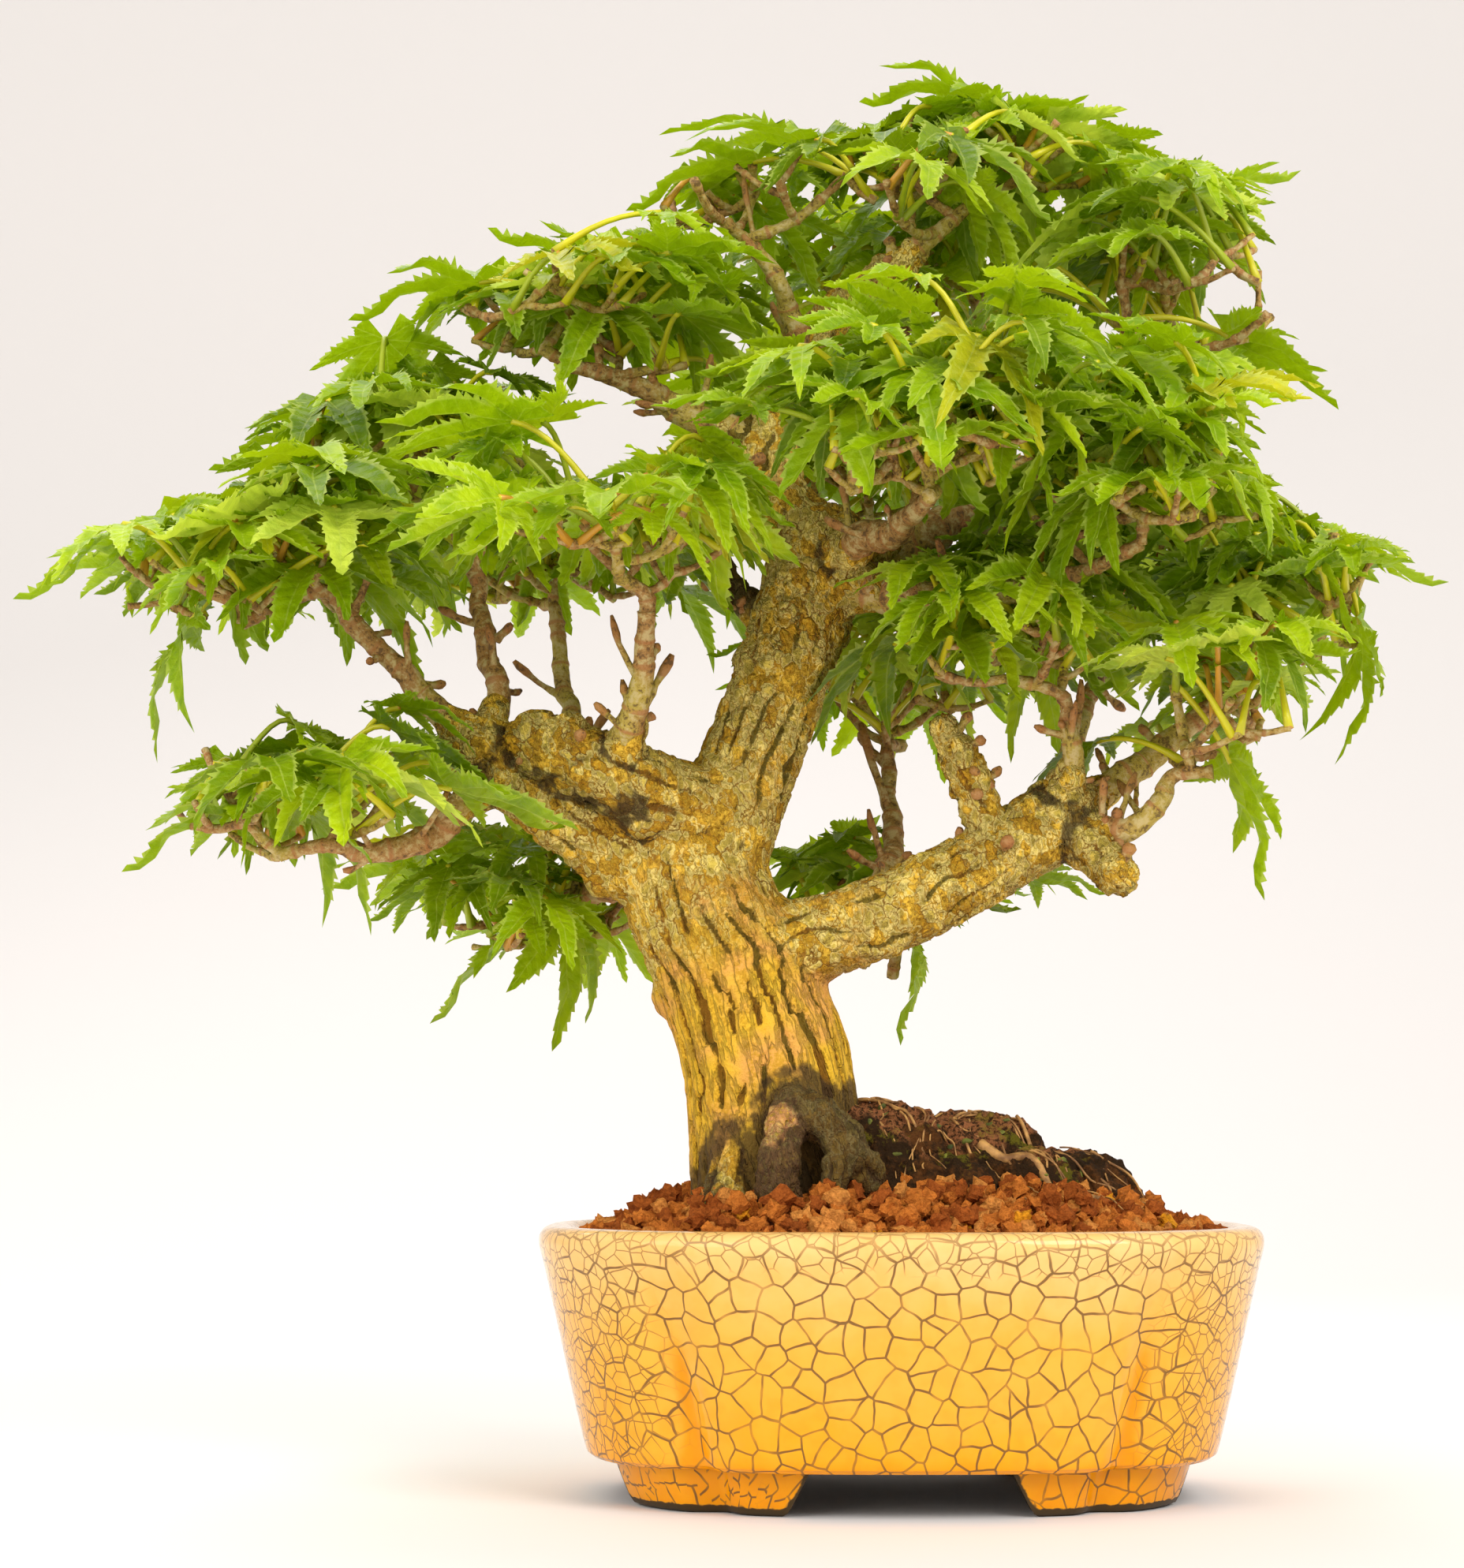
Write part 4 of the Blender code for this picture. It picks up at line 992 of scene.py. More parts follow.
    def turns(self, slope: float, inset: float) -> Array:
        """The plan's turns from one end of a foot to the other.

        Args:
            slope: how much further in the ends are cut.
            inset: how far the plan lies in from the rim's edge.

        Returns:
            The turns.
        """
        power = POT_SQUARENESS / 2.0
        start = math.asin(((self.cut_side + slope) / (POT_HALF_DEPTH - inset)) ** power)
        end = math.acos(((self.cut_front + slope) / (POT_HALF_WIDTH - inset)) ** power)
        return np.linspace(start, end, self.foot_steps)

    def build(self) -> Object:
        """The glazed pot as one piece, in place of the bowl and its feet."""
        feet = [self.foot(side, back) for side in (-1.0, 1.0) for back in (-1.0, 1.0)]
        piece = joined([self.bowl(), *feet]).piece("glazed_pot", [Glaze().material()])
        piece.data.set_sharp_from_angle(angle=math.radians(50.0))
        names = [f"pot_foot_{a}_{b}" for a in ("left", "right") for b in ("front", "back")]
        return seat(piece, "glaze", "pot", *names)


def flat_map(columns: Array, rows: Array) -> Array:
    """Spreads a grid of quads flat, by the lengths along its first row and its first column.

    Args:
        columns: places along a row, one more than the row has quads.
        rows: places from row to row.

    Returns:
        For each corner of each quad its lengths, in tenths of a metre.
    """
    across, up = lengths_along(columns) / 100.0, lengths_along(rows) / 100.0
    a = np.stack((across[:-1], across[1:], across[1:], across[:-1]), axis=-1)
    b = np.stack((up[:-1], up[:-1], up[1:], up[1:]), axis=-1)
    a, b = np.broadcast_arrays(a[None], b[:, None])
    return np.stack((a, b), axis=-1).reshape(-1, 2)


# The limbs

@dataclass(frozen=True)
class Limb:
    """A limb that leaves its parent part of the way along it, and bows on its way to its tip."""

    name: str
    parent: str
    along: float
    tip: tuple
    bow: tuple
    radii: tuple


LIMBS = (
    Limb("leader", "trunk", 0.88, (22, 0, 226), (1.5, 0, 0), (12.5, 10.8)),
    Limb("limb_left", "trunk", 0.86, (-62, -8, 176), (0, 0, -2), (9.5, 6.4)),
    Limb("limb_right", "trunk", 0.70, (81, 0, 162), (4, -6, -4), (10.5, 8)),
    Limb("knuckle", "leader", 0.22, (-47, -13, 178), (0, -6, -1), (9.8, 6)),
    Limb("leader_top", "leader", 0.97, (45, 0, 301), (-23, 6, 0), (9.6, 2.9)),
    Limb("stub_dark", "leader", 0.74, (-3, 8, 224), (-2, 4, 0), (3.9, 3.1)),
    Limb("stub_right", "limb_right", 0.96, (92, -16, 144), (2, 0, -1), (5.5, 3.4)),
    Limb("bough_left_high", "limb_left", 0.94, (-92, -12, 207), (2, 0, -2), (4.6, 2.3)),
    Limb("bough_left_low", "limb_left", 0.90, (-90, -15, 151), (0, 0, -7), (4.6, 2.2)),
    Limb("bough_left_tier", "limb_left", 0.96, (-70, 14, 234), (7, -2, -4), (3.6, 1.8)),
    Limb("bough_left_front", "knuckle", 0.62, (-20, -34, 205), (3, -2, -2), (4.2, 2.1)),
    Limb("bough_left_back", "limb_left", 0.62, (-46, 57, 217), (4, 8, -12), (4.2, 2)),
    Limb("bough_low_back", "trunk", 0.90, (-44, 46, 139), (-3, 6, 5), (5.4, 2.1)),
    Limb("bough_upper_left", "leader_top", 0.30, (-36, -4, 270), (0, 0, 3), (5, 1.9)),
    Limb("bough_apex_left", "leader_top", 0.50, (6, -6, 299), (7, 0, 0), (4.2, 1.8)),
    Limb("bough_upper_right", "leader", 0.98, (98, 8, 268), (8, 8, -6), (6.8, 2)),
    Limb("bough_front", "leader", 0.97, (44, -46, 228), (3, -3, -1), (5.2, 2)),
    Limb("bough_right_mid", "leader", 0.92, (78, -34, 213), (4, -4, -5), (6.4, 2.2)),
    Limb("bough_right_out", "limb_right", 0.97, (126, 3, 197), (0, 6, -3), (4.8, 1.9)),
    Limb("bough_right_low", "limb_right", 0.95, (103, -13, 165), (3, -2, -6), (4.4, 2.2)),
    Limb("bough_right_up", "limb_right", 0.93, (80, -11, 183), (3, -1, 0), (4.6, 1.8)),
    Limb("bough_right_inner", "limb_right", 0.76, (51, -9, 181), (2, 0, -1), (4.2, 3.2)),
    Limb("bough_right_back", "limb_right", 0.86, (96, 50, 206), (0, 10, -6), (4.6, 2)),
    Limb("bough_centre_back", "limb_right", 0.40, (40, 42, 179), (2, 4, -4), (4.4, 1.8)),
    Limb("bough_under_back", "trunk", 0.74, (38, 56, 137), (-4, 6, 4), (5, 2)),
    Limb("bough_mid_back", "leader", 0.95, (23, 62, 243), (2, 0, -3), (5.6, 2)),
    Limb("bough_high_back", "leader_top", 0.52, (38, 50, 293), (0, 6, -4), (4.4, 2)),
)


@dataclass(frozen=True)
class Line:
    """A limb's middle line: its places, radii and lengths, and how flaky its bark is at its start and end."""

    places: Array
    radii: Array
    flaky: tuple[float, float]

    @property
    def lengths(self) -> Array:
        """The length from the start to each place."""
        return lengths_along(self.places)

    def at(self, share: float) -> tuple[Array, float]:
        """The place and radius a share of the way along."""
        length = self.lengths
        where = share * length[-1]
        return rows_at(where, length, self.places), float(np.interp(where, length, self.radii))

    def nearest(self, points: Array) -> tuple[Array, Array, Array]:
        """Where on the line each point belongs.

        Args:
            points: the points.

        Returns:
            For each point the distance to the limb's round surface, the length along the line, and the spoke
            from the line to the point.
        """
        start, way = self.places[:-1], np.diff(self.places, axis=0)
        square = (way**2).sum(axis=1)
        best = np.full(len(points), np.inf)
        length, spoke = np.zeros(len(points)), np.zeros((len(points), 3))
        for k, base in enumerate(self.lengths[:-1]):
            t = np.clip(((points - start[k]) @ way[k]) / square[k], 0.0, 1.0)
            off = points - start[k] - t[:, None] * way[k]
            far = np.linalg.norm(off, axis=1) - (self.radii[k] + t * (self.radii[k + 1] - self.radii[k]))
            closer = far < best
            best = np.where(closer, far, best)
            length = np.where(closer, base + t * math.sqrt(square[k]), length)
            spoke = np.where(closer[:, None], off, spoke)
        return best, length, spoke


@dataclass
class Skeleton:
    """The middle lines of the trunk and every limb."""

    lines: dict[str, Line] = field(default_factory=dict)

    def __post_init__(self) -> None:
        """Works the lines out from the tables."""
        rows = smooth_path(np.array(TRUNK), 4)
        self.lines["trunk"] = Line(rows[:, :3], rows[:, 3], (0.0, 0.55))
        for limb in LIMBS:
            start = self.lines[limb.parent].at(limb.along)[0]
            t = np.linspace(0.0, 1.0, 17)[:, None]
            places = start * (1 - t) + np.array(limb.tip) * t + np.array(limb.bow) * 4 * t * (1 - t)
            radii = limb.radii[0] + (limb.radii[1] - limb.radii[0]) * t[:, 0] ** 0.8
            self.lines[limb.name] = Line(places, radii, (0.6, 1.0))


@dataclass
class Wood:
    """The trunk and main limbs in one skin, with furrows, flakes, burls and the collars of the boughs."""

    skeleton: Skeleton
    voxel: float = 0.82
    blend: float = 1.7
    furrow_depth: float = 1.9
    furrow_gap: float = 5.8
    flake_depth: float = 0.55
    collar: float = 7.0

    stout: tuple = ("trunk", "leader", "limb_left", "limb_right", "knuckle", "leader_top", "stub_dark",
                    "stub_right", "bough_right_inner")
    burls_on: tuple = (("knuckle", 18, 0.64), ("limb_left", 11, 0.54), ("limb_right", 10, 0.36),
                       ("leader", 7, 0.28), ("leader_top", 8, 0.58), ("stub_right", 7, 0.62),
                       ("bough_right_inner", 6, 0.75), ("trunk", 3, 0.30))

    def collars(self) -> list[Line]:
        """A short fat start of each bough, so that the skin rises into it."""
        lines = []
        for limb in LIMBS:
            if limb.name in self.stout:
                continue
            line = self.skeleton.lines[limb.name]
            parent_radius = self.skeleton.lines[limb.parent].at(limb.along)[1]
            share = min((parent_radius + self.collar) / line.lengths[-1], 0.6)
            stops = [line.at(share * t) for t in (0.0, 0.25, 0.5, 0.75, 1.0)]
            places = np.array([place for place, _ in stops])
            radii = np.array([radius for _, radius in stops]) * (1.25, 1.2, 1.15, 1.06, 0.95)
            lines.append(Line(places, radii, (0.9, 0.9)))
        return lines

    def burls(self) -> list[Line]:
        """Knobs that swell from the limbs, each a ball whose middle lies near the surface."""
        dice = np.random.default_rng(SEED)
        lines = []
        for name, count, share in self.burls_on:
            line = self.skeleton.lines[name]
            for k in range(count):
                place, radius = line.at(0.35 + 0.65 * (k + dice.uniform()) / count)
                way = unit(dice.normal(size=3) * (1.0, 0.8, 1.0))
                size = radius * share * dice.uniform(0.7, 1.15)
                middle = place + way * (radius - 0.35 * size)
                lines.append(Line(np.array((middle, middle + way * 0.3 * size)), np.array((size, size * 0.7)),
                                  (1.0, 1.0)))
        return lines

    def roots(self) -> list[Line]:
        """The thick old root in front of the trunk, the arched one beside it, and the trunk's flare."""
        rows = (
            ((15, -17, 92, 3), (13, -24, 87, 4.2), (10.5, -27.5, 79, 4.3), (10, -27.5, 62, 5)),
            ((14, -21, 90, 4), (20.5, -24.5, 88.5, 4.6), (26, -24, 82, 4.6), (31, -17, 74, 5)),
            ((1, -16, 80, 3), (-1, -19, 72, 4.5), (-3, -22, 62, 6)),
            ((24, -24, 62, 3.6), (23, -26, 70, 3.4), (23.5, -27, 76.5, 2.8)),
        )
        return [Line(np.array(row)[:, :3], np.array(row)[:, 3], (0.55, 0.55)) for row in rows]

    def rough_form(self, lines: list[Line]) -> Object:
        """Every limb as a closed tube with round ends, run together into one skin.

        Args:
            lines: the middle lines.

        Returns:
            The skin, as an object.
        """
        parts = []
        for line in lines:
            parts.append(sweep(line.places[None], line.radii[None], 20))
            for end in (0, -1):
                parts.append(ball(line.places[end], np.full(3, line.radii[end] * 0.98)))
        return skin_of(parts, "barked_limbs", self.voxel)

    def distances(self, points: Array, lines: list[Line]) -> Array:
        """Each point's distance to each limb's surface, as points by limbs."""
        return np.column_stack([line.nearest(points)[0] for line in lines])

    def run_together(self, far: Array) -> Array:
        """The smooth least distance: -k log of the sum of exp(-distance / k)."""
        least = far.min(axis=1)
        return least - self.blend * np.log(np.exp(-(far - least[:, None]) / self.blend).sum(axis=1))

    def pattern(self, line: Line, points: Array, seed: int) -> dict[str, Array]:
        """The bark of one limb, worked out along it and round it.

        Args:
            line: the limb's middle line.
            points: places on its surface.
            seed: which pattern is meant.

        Returns:
            How deep a furrow is, how high a flake stands, and how flaky the bark is, at each place.
        """
        _, length, spoke = line.nearest(points)
        share = length / line.lengths[-1]
        way = unit(line.places[-1] - line.places[0])
        front = unit(np.array((0.0, -1.0, 0.0)) + way * way[1])
        turn = np.arctan2(spoke @ np.cross(way, front), spoke @ front)
        radius = float(line.radii.mean())
        round_it = np.column_stack((np.cos(turn), np.sin(turn))) * radius
        around = np.column_stack((round_it / 10.0, length / 11.5))
        phase = round(2.0 * math.pi * radius / self.furrow_gap) * turn + 3.2 * noise(around, seed)
        phase += 1.5 * noise(np.column_stack((round_it / 4.5, length / 6.0)), seed + 1)
        broken = smooth_step(-0.42, 0.08, noise(around * (1.5, 1.5, 1.2) + 40.0, seed + 7))
        furrow = smooth_step(0.36, 1.0, np.cos(phase)) * broken
        shift = 0.3 * rough_noise(points / 4.0, seed + 2)[:, None]
        edge, value = cellular(np.column_stack((round_it / 3.6, length / 5.2)) + shift, seed + 3)
        flake = smooth_step(0.03, 0.26, edge) * (0.5 + 0.7 * value)
        flaky = line.flaky[0] + (line.flaky[1] - line.flaky[0]) * smooth_step(0.45, 0.95, share)
        return {"furrow": furrow, "flake": flake, "flaky": flaky}

    def build(self) -> Object:
        """The skin, eased at each fork, with its bark's relief and painted shade in its crotches, in place of
        the trunk and main limbs.
        """
        stout = [self.skeleton.lines[name] for name in self.stout]
        lines = stout + self.roots() + self.collars() + self.burls()
        thing = self.rough_form(lines)
        points, normals = read_skin(thing.data)
        for _ in range(2):
            far = self.distances(points, lines)
            points = points - normals * np.clip(self.run_together(far), -1.5, 1.5)[:, None]
        far = self.distances(points, lines)
        crotch = np.clip((far.min(axis=1) - self.run_together(far)) / self.blend, 0.0, 1.5)
        found = self.bark_heights(points, far[:, : len(stout) + len(self.roots())], lines)
        # Painted shade: the bark darkens in the crotches, where limbs run together.
        found["damp_and_shade"] = np.maximum(found["damp_and_shade"], 0.75 * smooth_step(0.62, 1.15, crotch))
        swell = 0.5 * rough_noise(points / 9.0, SEED + 31) + 0.32 * rough_noise(points / 2.2, SEED + 37)
        lift = found.pop("height") + swell * (0.6 + 0.6 * found["flaky"])
        lift = lift - 0.5 * smooth_step(0.5, 1.2, crotch)
        dress_skin(thing, points + normals * lift[:, None], found, Bark().material())
        return seat(thing, "bark", *self.stout, "root_knob")

    def bark_heights(self, points: Array, far: Array, lines: list[Line]) -> dict[str, Array]:
        """The bark of all main limbs, each weighed by how near its surface is.

        Args:
            points: places on the skin.
            far: the distance from each place to each main limb.
            lines: the middle lines, the main limbs first.

        Returns:
            The height of the relief, and the values that the finish reads.
        """
        weight = np.exp(-(far - far.min(axis=1, keepdims=True)) / 1.8)
        weight /= weight.sum(axis=1, keepdims=True)
        total = {key: np.zeros(len(points)) for key in ("furrow", "flake", "flaky")}
        for k in range(far.shape[1]):
            near = weight[:, k] > 0.01
            if near.any():
                found = self.pattern(lines[k], points[near], SEED + 100 * k)
                for key, numbers in found.items():
                    total[key][near] += weight[near, k] * numbers
        flaky = total["flaky"]
        height = self.flake_depth * flaky * (total["flake"] - 0.5) * 2.0
        height -= self.furrow_depth * (1.0 - 0.8 * flaky) * (total["furrow"] - 0.25)
        # The damp value darkens the trunk's foot, the side by the root ball, the dead stub and the skin of
        # two roots; ring is painted shade in a band where the roots join the trunk, and arch is painted shade
        # under the arched root.
        low = 1.0 - smooth_step(70.0, 88.0, points[:, 2] + 5.0 * noise(points / 8.0, SEED + 41))
        right = smooth_step(16.0, 30.0, points[:, 0]) * (1.0 - smooth_step(92.0, 104.0, points[:, 2]))
        dead = smooth_step(206.0, 214.0, points[:, 2]) * (far.argmin(axis=1) == self.stout.index("stub_dark"))
        beside = far[:, len(self.stout):].min(axis=1)
        ring = smooth_step(0.3, 1.6, beside) * (1.0 - smooth_step(4.0, 9.0, beside))
        arch = np.exp(-(((points[:, 0] - 19.0) / 6.0) ** 2)) * (points[:, 1] < -12.0) * (points[:, 2] < 86.0)
        mossy = 1.0 - smooth_step(0.0, 2.5, far[:, [len(self.stout) + 1, len(self.stout) + 3]].min(axis=1))
        damp_and_shade = np.clip(0.8 * low + right + 0.9 * dead + 0.75 * ring + 0.8 * arch + 0.85 * mossy, 0.0, 1.0)
        rosy = 1.0 - smooth_step(0.5, 3.0, far[:, len(self.stout)])
        lumpy = rough_noise(points / (3.0, 3.0, 5.0), SEED + 43)
        height += 1.3 * (1.0 - smooth_step(0.5, 3.0, beside)) * lumpy
        damp_and_shade = np.clip(damp_and_shade + 0.42 * rosy, 0.0, 1.0)
        return {"height": height, "furrow": total["furrow"], "flaky": flaky, "rosy": rosy, "damp_and_shade": damp_and_shade}


@dataclass
class Boughs:
    """The tapering boughs, ringed where each year's growth began."""

    skeleton: Skeleton
    sides: int = 20
    station: float = 0.75

    def build(self, stout: tuple) -> Object:
        """All boughs as one piece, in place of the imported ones.

        Args:
            stout: the limbs that the barked skin has.

        Returns:
            The piece.
        """
        names = [limb.name for limb in LIMBS if limb.name not in stout]
        lines = self.skeleton.lines
        parts = [self.bough(lines[name], k) for k, name in enumerate(names)]
        parts += [self.spur(lines[name], 1.1, k, 3.5 + 4.5 * (k % 3)) for name in names for k in range(6)]
        parts += [self.spur(lines[name], 1.5, k, 3.5) for name in stout[1:] for k in range(7)]
        piece = joined(parts).piece("ringed_boughs", [Twig().material()])
        return seat(piece, "bark", *names)

    def bough(self, line: Line, seed: int) -> Surface:
        """One bough: its round section swollen at each ring, kinked a little and pitted by noise.

        Args:
            line: its middle line.
            seed: which of the boughs it is.

        Returns:
            The bough.
        """
        stations = int(line.lengths[-1] / self.station)
        share = np.linspace(0.0, 1.0, stations)
        length = share * line.lengths[-1]
        places = rows_at(length, line.lengths, line.places)
        radii = np.interp(length, line.lengths, line.radii)
        ring = rings_along(length, seed)
        kink = np.column_stack([noise(np.column_stack((length / 7.0, 0 * length + k, 0 * length)), seed)
                                for k in range(3)])
        places = places + kink * np.sin(share * math.pi)[:, None] * 1.7
        tube = ringed_tube(places, radii * (0.97 + 0.14 * ring), ring, self.sides)
        middle = np.repeat(places, self.sides, axis=0)
        out = unit(tube.points - middle)
        pits = rough_noise(tube.points / 2.4, SEED + seed) * 0.35
        pits = pits + noise(tube.points / 6.0, SEED + seed) * 0.3
        deep = 0.35 + np.repeat(radii, self.sides) * 0.16
        tube.points = tube.points + out * pits[:, None] * deep[:, None]
        return tube

    def spur(self, line: Line, thick: float, seed: int, long: float) -> Surface:
        """A knobby stub or bare twig that bends upwards.

        Args:
            line: the middle line of the limb that it stands on.
            thick: how thick it is.
            seed: which of the limb's stubs it is.
            long: how far it stands out.

        Returns:
            The stub.
        """
        dice = np.random.default_rng(SEED + 17 * seed + int(abs(line.places[-1] @ (3.0, 5.0, 7.0))))
        place, radius = line.at(dice.uniform(0.25, 1.0))
        way = unit(dice.normal(size=3) * (1.0, 0.9, 1.0) + (0.0, 0.0, 0.35))
        t = np.linspace(0.0, 1.0, 9)[:, None]
        stops = place + way * (radius * 0.5 + t * (radius * 0.3 + dice.uniform(0.6, 1.4) * long))
        stops += (dice.normal(size=3) * 0.12 + (0.0, 0.0, 0.25)) * t**2 * long
        swell = thick * np.array((1.25, 1.1, 0.95, 0.85, 0.8, 0.85, 1.05, 1.0, 0.5)) * dice.uniform(0.7, 1.15)
        stub = ringed_tube(stops, swell, np.array((0, 0, 0.3, 0, 0.2, 0.5, 1, 1, 1)), 9)
        rough = np.column_stack([noise(stub.points / 1.4, SEED + k) for k in range(3)])
        stub.points = stub.points + 0.3 * rough
        return stub


def ringed_tube(path: Array, radii: Array, ring: Array, sides: int) -> Surface:
    """One tube along a path, with how strong a ring is at each station as the value "ring"."""
    tube = sweep(path[None], radii[None], sides)
    tube.values = {"ring": np.repeat(ring, sides)}
    return tube


def rings_along(length: Array, seed: int) -> Array:
    """1 on the rings of a shoot and 0 between them, 5 to 9 mm apart, by narrow bell curves.

    Args:
        length: the lengths at which it is worked out.
        seed: which shoot is meant.

    Returns:
        The ring's strength at each length.
    """
    dice = np.random.default_rng(SEED + seed)
    stops = np.cumsum(dice.uniform(5.0, 9.0, 40)) - 3.0
    return np.exp(-(((length[:, None] - stops) / 0.75) ** 2)).max(axis=1)


# The soil and the old roots

@dataclass
class Soil:
    """A bed of crumbs with fired clay granules heaped on it, higher towards the roots."""

    spacing: float = 3.9
    loose: int = 300
    forms: int = 6

    @staticmethod
    def edge(x: Array, y: Array) -> Array:
        """How far out a place is: 0 in the pot's middle and 1 at the rim's inner edge."""
        return ((np.abs(x - POT_X) / 76.0) ** POT_SQUARENESS + (np.abs(y) / 59.0) ** POT_SQUARENESS) ** (
            1.0 / POT_SQUARENESS)

    def height(self, x: Array, y: Array) -> Array:
        """The heap's height: level, a little lower at the rim, with two bell-shaped mounds at the roots."""
        mound = 5.0 * np.exp(-(((x - 58.0) / 34.0) ** 2) - ((y + 8.0) / 28.0) ** 2)
        mound += 3.4 * np.exp(-(((x - 10.0) / 26.0) ** 2) - ((y + 2.0) / 26.0) ** 2)
        return 67.6 - 5.6 * smooth_step(0.66, 1.02, self.edge(x, y)) + mound

    def form(self, seed: int) -> Surface:
        """One granule's form: a cube swollen half way to a ball and dented by noise.

        Args:
            seed: which of the forms it is.

        Returns:
            The form, about one unit in radius.
        """
        side = np.linspace(-1.0, 1.0, 4)
        flat = np.array([(a, b, 1.0) for a in side for b in side])
        cell = np.array([(4 * a + b, 4 * a + b + 4, 4 * a + b + 5, 4 * a + b + 1)
                         for a in range(3) for b in range(3)])
        turns = [np.roll(np.eye(3), k, axis=1) for k in range(3)]
        sides = [flat @ turn * sign for turn in turns for sign in (1.0, -1.0)]
        faces = [(cell if k % 2 == 0 else cell[:, ::-1]) + 16 * k for k in range(6)]
        points, index = np.unique(np.concatenate(sides).round(5), axis=0, return_inverse=True)
        round_it = unit(points) * 0.55 + points * 0.38
        dents = 1.0 + 0.55 * noise(points * 1.9 + 31.0 * seed, SEED + seed)
        return Surface(round_it * dents[:, None], [index.ravel()[np.concatenate(faces)]])

    def places(self, dice: np.random.Generator) -> Array:
        """The granules' middles: a jittered triangular grid over the bed, and loose ones on top.

        Args:
            dice: the source of chance.

        Returns:
            The middles.
        """
        x, y = np.meshgrid(np.arange(-20, 21) * self.spacing, np.arange(-18, 19) * self.spacing * 0.866)
        x = x + np.where(np.arange(37)[:, None] % 2 == 0, 0.0, self.spacing / 2.0) + POT_X
        flat = np.column_stack((x.ravel(), y.ravel()))
        flat = flat + dice.uniform(-1.1, 1.1, flat.shape)
        more = dice.uniform((POT_X - 74.0, -57.0), (POT_X + 74.0, 57.0), (self.loose, 2))
        lift = np.concatenate((dice.uniform(-3.0, -1.2, len(flat)), dice.uniform(0.2, 1.4, self.loose)))
        flat = np.concatenate((flat, more))
        z = self.height(flat[:, 0], flat[:, 1]) + lift
        edge = self.edge(flat[:, 0], flat[:, 1])
        keep = (edge < 0.985) & (np.hypot(flat[:, 0] - 11.0, flat[:, 1] + 1.0) > 16.0)
        keep &= (lift < -1.0) | (edge < 0.88)
        return np.column_stack((flat, z))[keep]

    def granules(self) -> Surface:
        """All granules, each turned and sized by chance, with its tint as a material slot."""
        dice = np.random.default_rng(SEED + 5)
        middles = self.places(dice)
        count = len(middles)
        forward = unit(dice.normal(size=(count, 3)))
        side = unit(np.cross(forward, dice.normal(size=(count, 3))))
        frames = np.stack((forward, side, np.cross(forward, side)), axis=1)
        sizes = dice.uniform(1.2, 2.6, (count, 1)) * dice.uniform(0.78, 1.22, (count, 3))
        tints = dice.choice(len(GranuleTint), count, p=[kind.value[2] for kind in GranuleTint])
        parts = []
        for k in range(self.forms):
            mine = np.arange(count) % self.forms == k
            parts.append(repeated(self.form(k), middles[mine], frames[mine], sizes[mine], tints[mine]))
        return joined(parts)

    def bed(self) -> Surface:
        """The bed: rings of the pot's plan, shrunk towards the middle and closed there."""
        turn = np.linspace(0.0, 2.0 * math.pi, 144, endpoint=False)
        rim = Pot().outline(turn, 9.6, 0.0) - (POT_X, 0.0)
        shares = np.linspace(1.0, 0.04, 34)
        flat = np.concatenate([rim * share + (POT_X, 0.0) for share in shares])
        z = self.height(flat[:, 0], flat[:, 1]) - 3.4
        z += 0.9 * rough_noise(np.column_stack((flat, 0.0 * z)) / 5.0, SEED + 61)
        quads, caps = loft(len(shares), len(turn))
        return Surface(np.column_stack((flat, z)), [quads, caps[1:]])

    def build(self) -> list[Object]:
        """The bed and the granules, in place of the packed soil."""
        kinds = [Granule(*kind.value[:2]).material() for kind in GranuleTint]
        heap = self.granules().piece("clay_granules", kinds)
        heap.data.set_sharp_from_angle(angle=math.radians(26.0))
        bed = self.bed().piece("soil_bed_surface", [SoilBed().material()])
        return [seat(bed, "soil", "soil"), seat(heap, "soil", "soil")]


def repeated(form: Surface, places: Array, frames: Array, sizes: Array,
             slots: Array) -> Surface:
    """One form set down many times.

    Args:
        form: the form.
        places: where its middle comes, one row each.
        frames: which way its three axes point, one 3 by 3 each.
        sizes: how much it is enlarged along its axes.
        slots: the material slot of each.

    Returns:
        All of them as one surface.
    """
    points = places[:, None] + (form.points[None] * sizes[:, None]) @ frames
    starts = (np.arange(len(places)) * len(form.points))[:, None, None]
    faces = [(group[None] + starts).reshape(-1, group.shape[1]) for group in form.faces]
    dealt = [np.repeat(slots, len(group)) for group in form.faces]
    maps = {key: [np.tile(group, (len(places), 1)) for group in groups] for key, groups in form.maps.items()}
    return Surface(points.reshape(-1, 3), faces, {}, maps, dealt)


